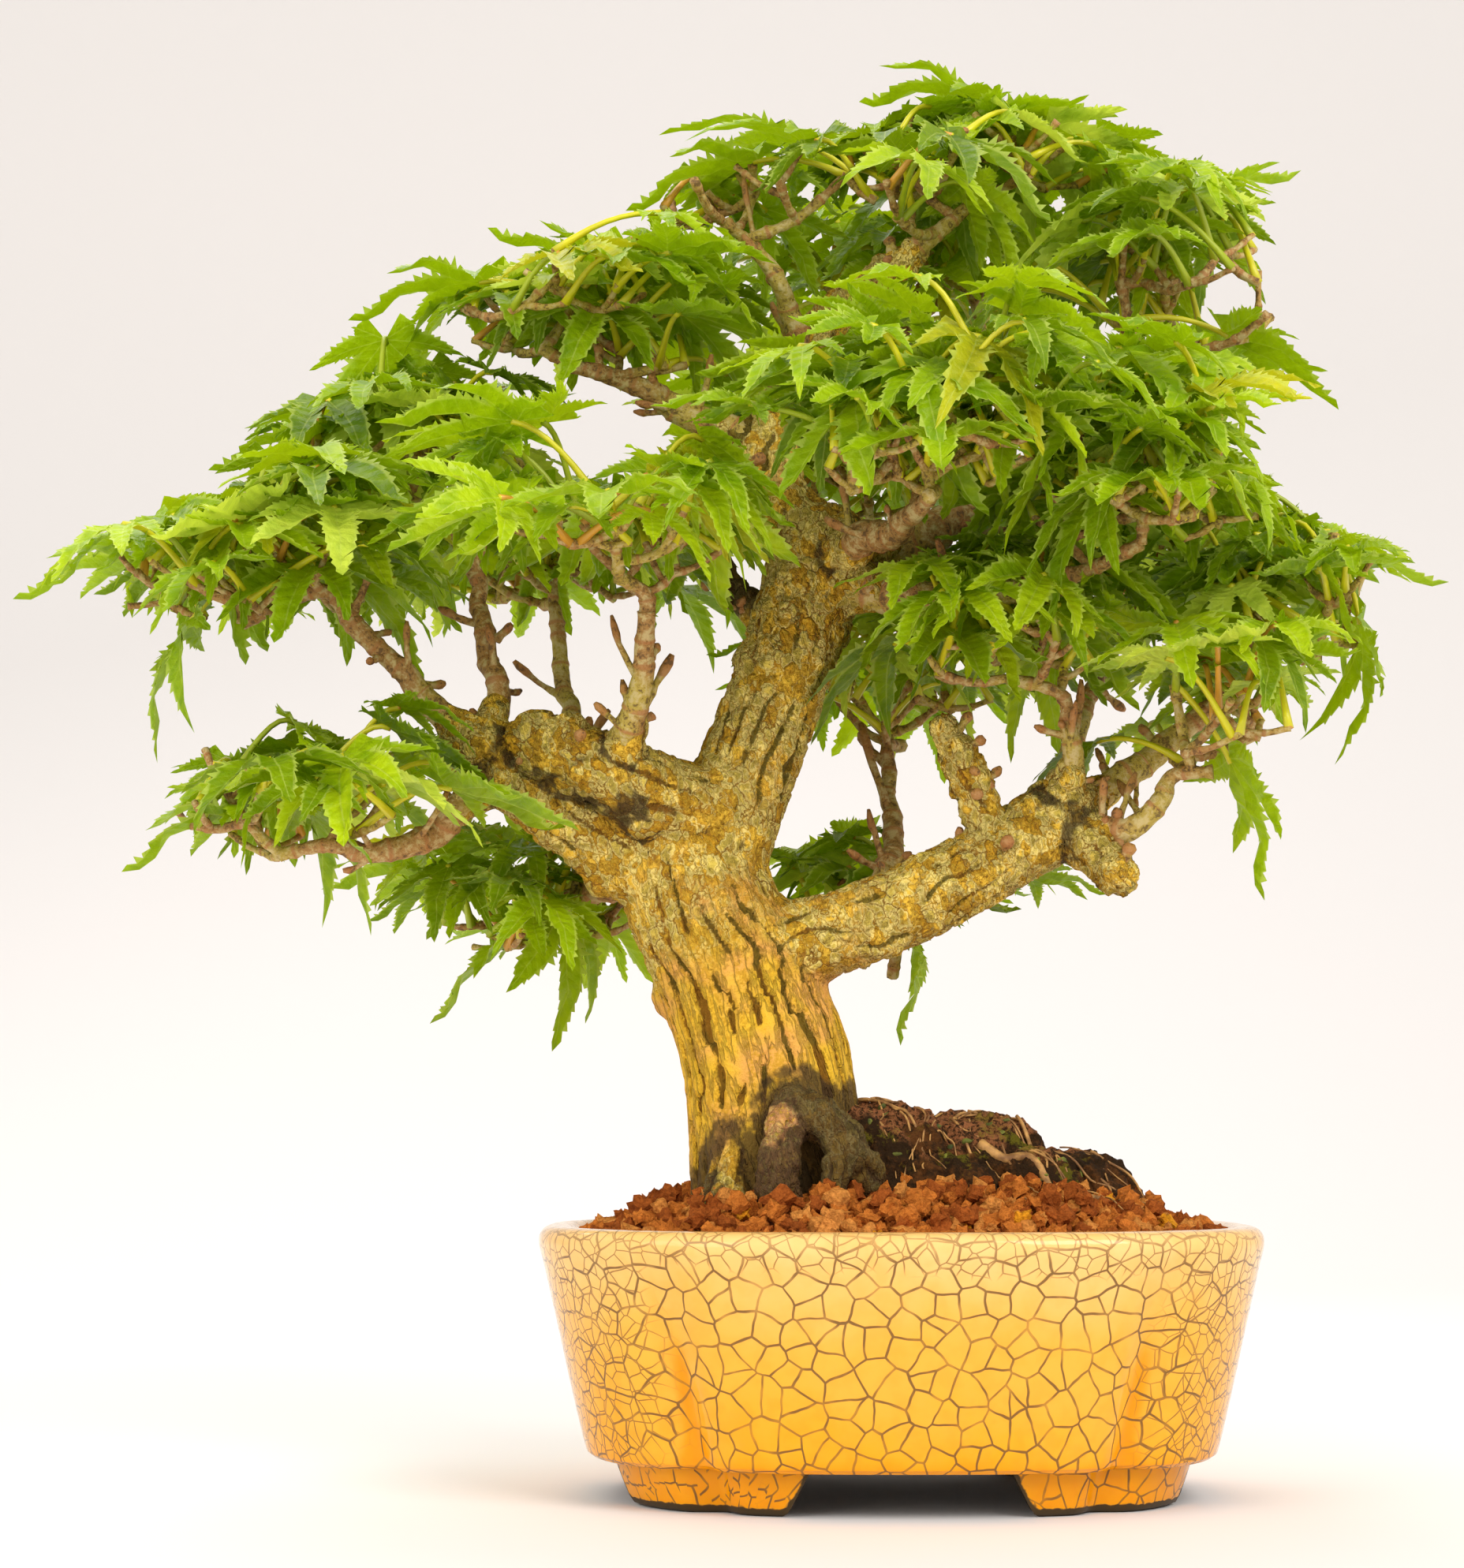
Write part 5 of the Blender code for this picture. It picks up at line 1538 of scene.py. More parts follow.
@dataclass
class OldRoots:
    """The old root ball right of the trunk, with fine roots over it and moss in its hollows."""

    soil: Soil
    lumps: tuple = (
        ((34.0, 0.0, 66.5), (21.0, 20.0, 25.5)), ((56.0, 6.0, 66.5), (24.0, 18.0, 22.5)),
        ((80.0, 4.0, 66.5), (19.0, 14.0, 13.5)), ((48.0, -12.0, 66.5), (18.0, 11.5, 12.5)),
        ((42.0, -7.0, 78.0), (9.0, 7.0, 12.0)), ((64.0, 2.0, 79.0), (10.0, 7.0, 9.5)),
        ((30.0, -10.0, 80.0), (7.0, 6.0, 10.0)), ((72.0, -5.0, 70.0), (13.0, 9.0, 10.0)),
        ((88.0, -3.0, 68.0), (9.0, 7.0, 6.0)),
    )
    fine_roots: int = 44

    def top(self, x: Array, y: Array) -> Array:
        """The height of the root ball, or of the soil where there is none."""
        best = self.soil.height(x, y) - 0.6
        for middle, half in self.lumps:
            off = ((x - middle[0]) / half[0]) ** 2 + ((y - middle[1]) / half[1]) ** 2
            lump = middle[2] + half[2] * np.sqrt(np.clip(1.0 - off, 0.0, 1.0))
            best = np.maximum(best, lump - 40.0 * (off > 1.0))
        return best

    def ball(self) -> Object:
        """The root ball: its lumps in one skin, torn by stretched noise, with a crust along its crest."""
        thing = skin_of([ball(*lump) for lump in self.lumps], "old_root_ball", 0.75)
        points, normals = read_skin(thing.data)
        torn = np.abs(rough_noise(points / (7.0, 5.0, 9.0), SEED + 71)) * 3.4
        stringy = np.abs(noise(points / (2.0, 2.0, 6.5), SEED + 77)) * 1.7
        lift = 1.6 - torn - stringy + 0.7 * noise(points / 1.6, SEED + 79)
        crest = smooth_step(0.15, 0.75, normals[:, 2]) * smooth_step(74.0, 82.0, points[:, 2])
        dress_skin(thing, points + normals * lift[:, None], {"crest": crest}, OldRoot().material())
        return seat(thing, "old_roots", "old_roots")

    def threads(self) -> Object:
        """Fine roots that wander down over the ball to the soil, and one thicker root among them."""
        dice = np.random.default_rng(SEED + 9)
        count, stations = self.fine_roots, 26
        run = np.linspace(0.0, 1.0, stations)[None, :]
        start = dice.uniform((24.0, -4.0), (86.0, 6.0), (count, 2))
        away = dice.uniform((-8.0, -30.0), (26.0, -8.0), (count, 2))
        away[::3, 1] *= -1.0
        start[0], away[0] = (58.0, -6.0), (26.0, -15.0)
        level = 0.0 * run
        wave = np.stack([noise(np.stack((run * 3.0 + 7.0 * k, level + k, level), axis=-1), SEED + k)[0]
                         for k in range(count)])
        x = start[:, :1] + away[:, :1] * run + wave * 3.2
        y = start[:, 1:] + away[:, 1:] * run - np.roll(wave, 5, axis=0) * 2.2
        thick = dice.uniform(0.2, 0.45, (count, 1))
        thick[0] = 1.3
        lift = 0.25 + thick * 0.5 + np.roll(wave, 9, axis=0) * 0.8
        paths = np.stack((x, y, self.top(x, y) + lift), axis=-1)
        paths[:, 1:-1] = 0.25 * paths[:, :-2] + 0.5 * paths[:, 1:-1] + 0.25 * paths[:, 2:]
        radii = thick * (1.1 - 0.6 * run)
        roots = sweep(paths, radii, 6)
        return seat(roots.piece("fine_root_threads", [FINE_ROOT.material()]), "old_roots", "old_roots")

    def cushions(self) -> Object:
        """Small cushions of moss in the hollows of the root ball and at the foot of the trunk."""
        dice = np.random.default_rng(SEED + 13)
        x = np.concatenate((dice.uniform(28.0, 84.0, 46), dice.uniform(-8.0, 30.0, 16)))
        y = np.concatenate((dice.uniform(-20.0, 10.0, 46), dice.uniform(-26.0, -18.0, 16)))
        z = self.top(x, y) - 0.6
        parts = []
        for k, place in enumerate(np.column_stack((x, y, z))):
            tuft = ball(place, dice.uniform(0.5, 1.5, 3) * (1.2, 1.2, 0.8), 7, 12)
            out = unit(tuft.points - place)
            tuft.points = tuft.points + out * (0.6 * noise(tuft.points / 0.9, SEED + k))[:, None]
            parts.append(tuft)
        return seat(joined(parts).piece("moss_cushions", [MOSS.material()]), "old_roots", "old_roots")

    def build(self) -> list[Object]:
        """The root ball, its fine roots and its moss."""
        return [self.ball(), self.threads(), self.cushions()]


# The crown

@dataclass(frozen=True)
class Mass:
    """Foliage on the tip of one bough: its middle, half sizes, shoots and furthest leaf tips."""

    name: str
    bough: str
    middle: tuple
    half: tuple
    shoots: int
    reach: tuple


MASSES = (
    Mass("leaves_far_left", "bough_left_high", (-118, -8, 213), (56, 42, 26), 10,
         ((-173, -10, 212), (-137, -12, 172))),
    Mass("leaves_low_left", "bough_left_low", (-107, -14, 156), (42, 36, 24), 6,
         ((-145, -12, 146), (-86, -8, 131))),
    Mass("leaves_left_tier", "bough_left_tier", (-82, 16, 248), (52, 40, 24), 9,
         ((-131, 15, 249), (-98, 16, 273))),
    Mass("leaves_left_front", "bough_left_front", (-26, -42, 218), (42, 44, 26), 8,
         ((-28, -111, 212),)),
    Mass("leaves_left_back", "bough_left_back", (-50, 70, 230), (44, 42, 22), 9,
         ((-60, 111, 222),)),
    Mass("leaves_low_back", "bough_low_back", (-50, 52, 135), (42, 38, 28), 7,
         ((-77, 45, 112), (-46, 48, 105))),
    Mass("leaves_upper_left", "bough_upper_left", (-46, -5, 281), (48, 40, 25), 8,
         ((-94, -5, 282), (-60, -6, 305))),
    Mass("leaves_apex_left", "bough_apex_left", (-2, -10, 311), (35, 38, 24), 9,
         ((-26, -10, 308), (-18, -10, 327))),
    Mass("leaves_apex", "leader_top", (60, 0, 320), (46, 42, 26), 10,
         ((32, 12, 343), (69, 8, 343.5), (96, 0, 335))),
    Mass("leaves_upper_right", "bough_upper_right", (116, 2, 286), (42, 40, 38), 11,
         ((142, 5, 323), (150, 5, 262))),
    Mass("leaves_front", "bough_front", (44, -64, 233), (42, 44, 28), 9,
         ((44, -111.5, 222),)),
    Mass("leaves_right_mid", "bough_right_mid", (94, -44, 226), (42, 42, 28), 10,
         ((100, -100, 216),)),
    Mass("leaves_right_out", "bough_right_out", (142, 0, 205), (40, 42, 26), 9,
         ((175, 0, 218), (146, 0, 173))),
    Mass("leaves_right_low", "bough_right_low", (114, -16, 176), (34, 34, 26), 7,
         ((126, -14, 139),)),
    Mass("leaves_right_inner", "bough_right_up", (66, -12, 198), (36, 36, 22), 9, ()),
    Mass("leaves_right_back", "bough_right_back", (108, 64, 222), (44, 42, 34), 8,
         ((112, 110, 212),)),
    Mass("leaves_centre_back", "bough_centre_back", (44, 54, 192), (40, 40, 30), 7, ()),
    Mass("leaves_under_back", "bough_under_back", (42, 66, 131), (32, 34, 24), 7,
         ((44, 66, 107),)),
    Mass("leaves_mid_back", "bough_mid_back", (22, 78, 252), (42, 36, 30), 9,
         ((22, 111.5, 244),)),
    Mass("leaves_high_back", "bough_high_back", (46, 58, 302), (46, 42, 26), 8, ()),
)

# Ovals that no leaf hides: middle and half sizes across and up, on the plane y = 0, and how far back the
# leaves are kept out of them, which for open sky is everywhere and for wood that shows is in front of it
OPEN = 999
SKY = (
    (-33, 251, 16, 10, OPEN),
    (122, 288, 8, 8, OPEN),
    (113, 309, 5, 5, OPEN),
    (-70, 273, 5, 5, OPEN),
    (-42, 193, 7, 6, OPEN),
    (-65, 191, 6, 5, OPEN),
    (-93, 183, 7, 6, OPEN),
    (-12, 188, 7, 9, OPEN),
    (-116, 180, 14, 5, OPEN),
    (46, 158, 13, 10, OPEN),
    (15, 160, 6, 6, OPEN),
    (34, 196, 4, 5, OPEN),
    (6, 176, 13, 16, 4),
    (17, 208, 9, 12, 4),
    (26, 229, 9, 11, 4),
    (3, 250, 9, 6, 0),
    (-88, 196, 8, 7, 0),
    (-58, 205, 6, 8, 0),
    (-24, 200, 5, 8, 0),
    (84, 184, 10, 9, -4),
    (104, 184, 10, 10, -4),
    (52, 180, 6, 10, -4),
)

# How far the crown reaches left and right at each height, seen from the camera, on the plane y = 0
REACH = (
    (104, -34, 28), (112, -44, 36), (123, -67, 38),
    (132, -88, 52), (138, -104, 76), (146, -120, 126),
    (155, -142, 125), (172, -140, 122), (178, -138, 142),
    (188, -136, 144), (200, -136, 156), (208, -146, 154),
    (214, -172, 156), (220, -168, 173), (227.5, -160, 164),
    (232.5, -152, 141), (238.5, -122, 132), (248.5, -122, 129),
    (256.5, -120, 134), (264.5, -100, 146), (270.5, -80, 144),
    (279.5, -90, 143), (288.5, -76, 133), (298.5, -58, 137),
    (305.5, -26, 134), (319.5, -16, 136), (324.5, 4, 108),
    (329.5, 20, 92), (334.5, 36, 80), (339, 50, 66),
)


@dataclass(frozen=True)
class LeafForm:
    """A leaf of seven lance-shaped lobes: toothed margins, sides folded up from midribs, drooping tips."""

    seed: int
    fold: float
    droop: float
    turns: tuple = (0.0, 41.0, 82.0, 124.0)
    reaches: tuple = (34.0, 30.0, 22.0, 11.0)
    sections: tuple = (6, 5, 4, 2)
    sinus: float = 8.0
    width: float = 0.118

    def half_width(self, share: Array, reach: float) -> Array:
        """Half the width of a free lobe: sin(pi t)^1.15, which swells and runs out to a long tip."""
        return reach * self.width * np.sin(math.pi * np.clip(share, 0.0, 1.0)) ** 1.15

    def half_lobe(self, k: int, side: float, gap: float) -> list[Array]:
        """The faces of one side of a lobe, each from the midrib out to two teeth on the margin.

        Args:
            k: which lobe, from the longest outwards.
            side: 1 for its left side and -1 for its right.
            gap: half the angle to the next lobe on that side.

        Returns:
            Each face's corners, as lengths along the midrib and away from it.
        """
        reach = self.reaches[k]
        stops = np.linspace(self.sinus, reach, self.sections[k] + 1)
        wide = self.half_width(stops / reach, reach)
        wide[0] = self.sinus * math.tan(gap)
        faces = [np.array(((0.0, 0.0), (self.sinus, 0.0), (self.sinus, wide[0])))]
        for a, b, u, v in zip(stops, stops[1:], wide, wide[1:]):
            tooth = (0.070 + 0.030 * math.cos(7.0 * a)) * reach * (1.0 - 0.6 * b / reach)
            low, notch = u + (v - u) * 0.45, u + (v - u) * 0.50
            far = u + (v - u) * 0.95
            faces.append(np.array((
                (a, 0.0), (b, 0.0), (b, v), (a + (b - a) * 1.04, far + tooth),
                (a + (b - a) * 0.55, notch), (a + (b - a) * 0.54, low + tooth * 0.6), (a, u))))
        faces[-1] = faces[-1][[0, 1, 5, 6]]
        return [face * (1.0, side) if side > 0.0 else (face * (1.0, side))[::-1] for face in faces]

    def surface(self) -> Surface:
        """The blade in the plane, bent into its shape, with the map "blade" of each lobe."""
        dice = np.random.default_rng(SEED + self.seed)
        points, faces, along = [], {}, {}
        for side in (1.0, -1.0):
            for k, turn in enumerate(self.turns):
                before = (turn - self.turns[k - 1]) / 2.0 if k else 0.0
                after = (self.turns[k + 1] - turn) / 2.0 if k + 1 < len(self.turns) else 24.0
                angle = math.radians(turn) * side
                sway = dice.normal() * 0.12 if k else 0.0
                sink = dice.uniform(-0.22, 0.30) if k else 0.0
                halves = [(side, after)] if k == 0 else [(1.0, after if side > 0.0 else before),
                                                         (-1.0, before if side > 0.0 else after)]
                for hand, gap in halves:
                    for face in self.half_lobe(k, hand, math.radians(gap)):
                        bent = self.bent(face, angle, sway, sink)
                        faces.setdefault(len(face), []).append(np.arange(len(face)) + sum(map(len, points)))
                        share = np.minimum(np.abs(face[:, 1]), 1.0) * hand
                        along.setdefault(len(face), []).append(np.column_stack((face[:, 0] / 40.0, share)))
                        points.append(bent)
        loose = np.concatenate(points)
        out = np.hypot(*loose.T[:2]) / 16.0
        loose[:, 2] += 1.3 * noise(loose / 6.5 + 9.0 * self.seed, SEED + 5) * out
        loose[:, 2] += 0.85 * noise(loose / 2.4, SEED + self.seed) * np.minimum(out, 1.0)
        welded, index = np.unique(loose.round(4), axis=0, return_inverse=True)
        groups = [index.ravel()[np.array(group)] for group in faces.values()]
        maps = {"blade": [np.concatenate(group) for group in along.values()]}
        maps["OFBake"] = [welded[group.ravel(), :2] / 76.0 + 0.5 for group in groups]
        return Surface(welded, groups, {}, maps)

    def bent(self, face: Array, angle: float, sway: float, sink: float) -> Array:
        """Places on a lobe, swayed sideways past the sinus, turned to the lobe's way, and lowered outwards.

        Args:
            face: lengths along the midrib and away from it.
            angle: which way the lobe points.
            sway: how far it sways, for its length.
            sink: how much more it droops than the others.

        Returns:
            The places in three dimensions.
        """
        along, away = face.T
        free = np.clip(along - self.sinus, 0.0, None)
        across = away + sway * free**1.4 * 0.4
        x = along * math.cos(angle) - across * math.sin(angle)
        y = along * math.sin(angle) + across * math.cos(angle)
        z = self.fold * np.abs(away) - self.droop * along**2 / 34.0 - sink * free
        return np.column_stack((x, y, z))


def key_points(shape: Surface) -> Array:
    """A leaf's hub, and the tips and middles of its five longest lobes, by which a place is tried."""
    turns = np.radians((0.0, 41.0, -41.0, 82.0, -82.0))
    ways = np.column_stack((np.cos(turns), np.sin(turns), 0.0 * turns))
    tips = shape.points[(shape.points @ ways.T).argmax(axis=0)]
    return np.concatenate((np.zeros((1, 3)), tips, tips * (0.6, 0.6, 0.45)))


@dataclass(frozen=True)
class PlacedLeaf:
    """One leaf: the foot and hub of its stalk, its three axes, its size, and the tints of blade and stalk."""

    foot: Array
    hub: Array
    axes: Array
    size: float
    tints: tuple[int, int]


@dataclass
class Room:
    """The space that each mass may fill, with the limbs and the open sky left out."""

    skeleton: Skeleton
    centres: list[Array] = field(default_factory=list)

    def __post_init__(self) -> None:
        """Works out the masses' spheres, and dots along every limb."""
        self.weight = np.array((1.0, 1.0, HEIGHT_WEIGHT))
        self.middles = np.array([mass.middle for mass in MASSES]) * self.weight
        self.spheres = np.array([mass.half[0] for mass in MASSES])
        shares = np.linspace(0.0, 1.0, 36)
        stops = [line.at(share) for line in self.skeleton.lines.values() for share in shares]
        self.dots = np.array([place for place, _ in stops])
        self.dot_radii = np.array([radius for _, radius in stops])

    def overreach(self, own: int, points: Array) -> Array:
        """How far each point lies past the planes where a mass's sphere meets the others'.

        Args:
            own: which mass it is.
            points: the points, along the last axis but one.

        Returns:
            The length past the furthest plane, below zero inside the mass's own share.
        """
        scaled = points * self.weight
        reach = ((scaled[..., None, :] - self.middles) ** 2).sum(axis=-1) - self.spheres**2
        apart = 2.0 * np.linalg.norm(self.middles - self.middles[own], axis=1)
        apart[own] = 1.0
        past = (reach[..., own, None] - reach) / apart
        past[..., own] = -1e9
        return past.max(axis=-1)

    def hides_sky(self, points: Array) -> Array:
        """Whether each point stands before open sky: past the crown's reach, or in an oval."""
        eye = np.array(EYE)
        share = -eye[1] / (points[..., 1] - eye[1])
        seen = eye + (points - eye) * share[..., None]
        heights, left, right = np.array(REACH).T
        across, up = seen[..., 0], seen[..., 2]
        hidden = (across < np.interp(up, heights, left)) | (across > np.interp(up, heights, right))
        hidden |= (up < heights[0]) | (up > heights[-1])
        for x, z, half_x, half_z, back in SKY:
            inside = ((across - x) / half_x) ** 2 + ((up - z) / half_z) ** 2 < 1.0
            hidden |= inside & (points[..., 1] < back)
        return hidden

    def limb_gap(self, points: Array) -> Array:
        """The distance from each point to the nearest limb's surface."""
        middle = points.reshape(-1, 3).mean(axis=0)
        near = np.linalg.norm(self.dots - middle, axis=1) - self.dot_radii < 62.0
        if not near.any():
            return np.full(points.shape[:-1], 60.0)
        far = np.linalg.norm(points[..., None, :] - self.dots[near], axis=-1) - self.dot_radii[near]
        return far.min(axis=-1)

    def crowding(self, places: Array) -> Array:
        """The distance from each place to the nearest leaf's middle that is already there, up to 40 mm."""
        if not self.centres:
            return np.full(len(places), ROOMY)
        there = np.array(self.centres)
        return np.minimum(np.linalg.norm(places[:, None] - there, axis=2).min(axis=1), ROOMY)


@dataclass
class Foliage:
    """The twigs and leaves of one mass, grown by a seeded rule from the tip of its bough."""

    mass: Mass
    room: Room
    forms: list[Surface]
    leaves: list[PlacedLeaf] = field(default_factory=list)
    twigs: list[tuple[Array, Array]] = field(default_factory=list)
    stalk_length: float = 22.0
    leaves_a_tip: int = 2
    fine_twigs: int = 2
    tries: int = 18

    def __post_init__(self) -> None:
        """Sets the mass's number, its chance and its middle."""
        self.own = MASSES.index(self.mass)
        self.dice = np.random.default_rng(SEED + 1000 + self.own)
        self.middle = np.array(self.mass.middle)
        self.half = np.array(self.mass.half)
        self.outlines = [key_points(form) for form in self.forms]

    @property
    def outline(self) -> Array:
        """The key points of the form that the next leaf takes."""
        return self.outlines[len(self.leaves) % len(self.forms)]

    def grow(self) -> None:
        """The stem, then the furthest leaves, then shoots spread evenly through the mass."""
        self.grow_stem()
        for goal in self.mass.reach:
            self.reach_for(np.array(goal))
        near = self.start - self.middle
        for way in sorted(self.spread(), key=lambda way: np.linalg.norm(way * self.half * 0.42 - near)):
            tip = self.middle + way * self.half * self.dice.uniform(0.38, 0.52)
            if not self.room.hides_sky(tip):
                self.grow_shoot(tip, 1.3)

    def spread(self) -> list[Array]:
        """Directions spread evenly from the top of a ball to below its middle, by the golden angle."""
        count = self.mass.shoots + 1
        golden = math.pi * (3.0 - math.sqrt(5.0))
        ways = []
        for k in range(count):
            turn = k * golden + self.dice.uniform(-0.3, 0.3)
            height = 0.95 - 1.35 * (k + 0.5) / count
            flat = math.sqrt(1.0 - height**2)
            ways.append(np.array((flat * math.cos(turn), flat * math.sin(turn), height)))
        return ways

    def grow_stem(self) -> None:
        """The stem goes on from the bough's tip and bends to just under the mass's middle."""
        line = self.room.skeleton.lines[self.mass.bough]
        tip, radius = line.places[-1], float(line.radii[-1])
        heading = unit(tip - line.places[-2])
        heart = self.middle - (0.0, 0.0, 0.25 * self.half[2])
        bend = tip + heading * max(0.35 * float(np.linalg.norm(heart - tip)), 3.0)
        self.start = tip
        self.add_twig(np.array((tip - heading * 2.0, bend, heart)), (radius * 0.97, 1.5))
        self.nodes = [bend, (bend + heart) / 2.0, heart]

    def add_twig(self, stops: Array, radii: tuple[float, float]) -> None:
        """Keeps a twig that runs smoothly through its stops and tapers between two radii."""
        path = smooth_path(stops, 10)
        share = np.linspace(0.0, 1.0, len(path))
        self.twigs.append((path, radii[0] + (radii[1] - radii[0]) * share))

    def grow_shoot(self, tip: Array, radius: float) -> None:
        """A shoot from the nearest part of the tree, with finer twigs near its tip and leaves on all of them.

        Args:
            tip: where the shoot ends.
            radius: how thick it starts.
        """
        nearest = min(self.nodes, key=lambda node: float(np.linalg.norm(node - tip)))
        span = float(np.linalg.norm(tip - nearest))
        if span < 5.0:
            return
        knee = (nearest + tip) / 2.0 - (0.0, 0.0, 0.1 * span)
        self.add_twig(np.array((nearest, knee, tip)), (radius, radius * 0.78))
        self.nodes += [knee, tip]
        way = unit(tip - knee)
        self.leaf_out(tip, way, self.leaves_a_tip)
        first = self.dice.uniform(0.0, 360.0)
        for k in range(self.fine_twigs):
            root = tip - way * (1.5 + 0.28 * span * k)
            turn = math.radians(first + 180.0 * k + self.dice.uniform(-40.0, 40.0))
            level = np.array((math.cos(turn), math.sin(turn), 0.0))
            aim = unit(level + 0.7 * way + (0.0, 0.0, self.dice.uniform(0.1, 0.7)))
            end = root + aim * self.dice.uniform(8.0, 15.0)
            if self.room.overreach(self.own, end) < 0.0 and not self.room.hides_sky(end):
                middle = (root + end) / 2.0 - (0.0, 0.0, 0.8)
                self.add_twig(np.array((root, middle, end)), (radius * 0.72, radius * 0.58))
                self.leaf_out(end, unit(end - middle), 1 + int(self.dice.uniform() < 0.3))

    def leaf_out(self, tip: Array, way: Array, count: int) -> None:
        """A spray of leaves at a twig's end, of one tint, their feet one behind another.

        Args:
            tip: the twig's end.
            way: which way it ends.
            count: how many leaves the spray has.
        """
        out = unit(tip - self.middle + (0.0, 0.0, 0.5 * self.half[2]))
        tint_now = int(self.dice.choice(len(LeafTint), p=[kind.value[2] for kind in LeafTint]))
        stalk_now = int(self.dice.choice(len(StalkTint), p=[kind.value[2] for kind in StalkTint]))
        first = self.dice.uniform(0.0, 360.0)
        for k in range(count):
            foot = tip - way * (0.4 + 1.7 * k)
            self.grow_leaf(foot, out, first + 360.0 * k / count, (tint_now, stalk_now))

    def grow_leaf(self, foot: Array, out: Array, first: float, tints: tuple[int, int]) -> None:
        """The best of several tries at a leaf: clear of limbs and sky, and furthest from other leaves.

        Args:
            foot: where its stalk starts.
            out: away from the mass's middle.
            first: the turn about which the tries are spread, in degrees.
            tints: the tints of its blade and stalk.
        """
        dice, count = self.dice, self.tries
        turn = np.radians(first + dice.uniform(-60.0, 60.0, count))
        level = np.column_stack((np.cos(turn), np.sin(turn), np.zeros(count)))
        rise = np.array((0.0, 0.0, 1.0))
        heading = unit(level + out * 0.5 + rise * dice.uniform(0.0, 0.9, (count, 1)))
        hub = foot + heading * self.stalk_length * dice.uniform(0.7, 1.3, (count, 1))
        hang = 0.18 * (1.0 - float(out[2]))
        forward = unit(level + out * (0.5, 0.5, 0.0) + rise * (dice.uniform(-0.6, 0.28, (count, 1)) - hang))
        lean = (level + out) * dice.uniform(-0.1, 0.8, (count, 1))
        up = unit(rise + lean + dice.normal(0.0, 0.32, (count, 3)))
        across = unit(np.cross(up, forward))
        frames = np.stack((forward, across, np.cross(forward, across)), axis=1)
        sizes = dice.uniform(0.62, 1.02, count)
        points = hub[:, None] + self.outline[None] @ frames * sizes[:, None, None]
        score = np.minimum(self.room.crowding(hub + forward * BLADE_MIDDLE), 20.0)
        score = score * dice.uniform(0.7, 1.0, count)
        fits = (points > CROWN_LOW).all(axis=(1, 2)) & (points < CROWN_HIGH).all(axis=(1, 2))
        fits &= self.room.overreach(self.own, points).max(axis=1) < OVERREACH
        fits &= ~self.room.hides_sky(points).any(axis=1)
        fits &= self.room.limb_gap(points).min(axis=1) > 1.0
        if fits.any():
            best = int(np.where(fits, score, -1.0).argmax())
            self.add_leaf(PlacedLeaf(foot, hub[best], frames[best], float(sizes[best]), tints))

    def add_leaf(self, leaf: PlacedLeaf) -> None:
        """Keeps a leaf, and its middle as a place that is taken."""
        self.leaves.append(leaf)
        self.room.centres.append(leaf.hub + leaf.axes[0] * BLADE_MIDDLE)

    def reach_for(self, goal: Array) -> None:
        """A leaf whose longest lobe ends at a given place, and the shoot that carries it.

        Args:
            goal: the place.
        """
        away = unit(goal - self.middle)
        forward = unit(away * (1.0, 1.0, 0.6) - (0.0, 0.0, 0.1))
        up = unit(np.array((0.0, 0.0, 1.0)) - forward * forward[2])
        across = np.cross(up, forward)
        axes = np.stack((forward, across, np.cross(forward, across)))
        hub = goal - self.outline[1] @ axes
        tip = hub - unit(forward + (0.0, 0.0, 0.35)) * self.stalk_length
        self.add_leaf(PlacedLeaf(tip, hub, axes, 1.0, (1, 0)))
        self.grow_shoot(tip, 1.5)

    @staticmethod
    def gathered(what: str, leaves: list[PlacedLeaf]) -> Array:
        """One entry of each leaf's record, as an array."""
        return np.array([getattr(leaf, what) for leaf in leaves])

    def leaf_piece(self, kinds: list[Material]) -> Object:
        """All blades of the mass, each in a cell of its own of the map "OFBake".

        Args:
            kinds: the materials of the leaf tints.

        Returns:
            The piece.
        """
        cells = math.ceil(math.sqrt(len(self.leaves)))
        parts = []
        for k, shape in enumerate(self.forms):
            mine = np.arange(k, len(self.leaves), len(self.forms))
            leaves = self.leaves[k::len(self.forms)]
            hubs, axes = self.gathered("hub", leaves), self.gathered("axes", leaves)
            sizes = np.repeat(self.gathered("size", leaves)[:, None], 3, axis=1)
            part = repeated(shape, hubs, axes, sizes, self.gathered("tints", leaves)[:, 0])
            corner = np.column_stack((mine % cells, mine // cells))
            part.maps["OFBake"] = [(group + np.repeat(corner, len(group) // len(mine), axis=0)) / cells
                                   for group in part.maps["OFBake"]]
            parts.append(part)
        return seat(joined(parts).piece(f"{self.mass.name}.blades", kinds), "leaves", self.mass.name)

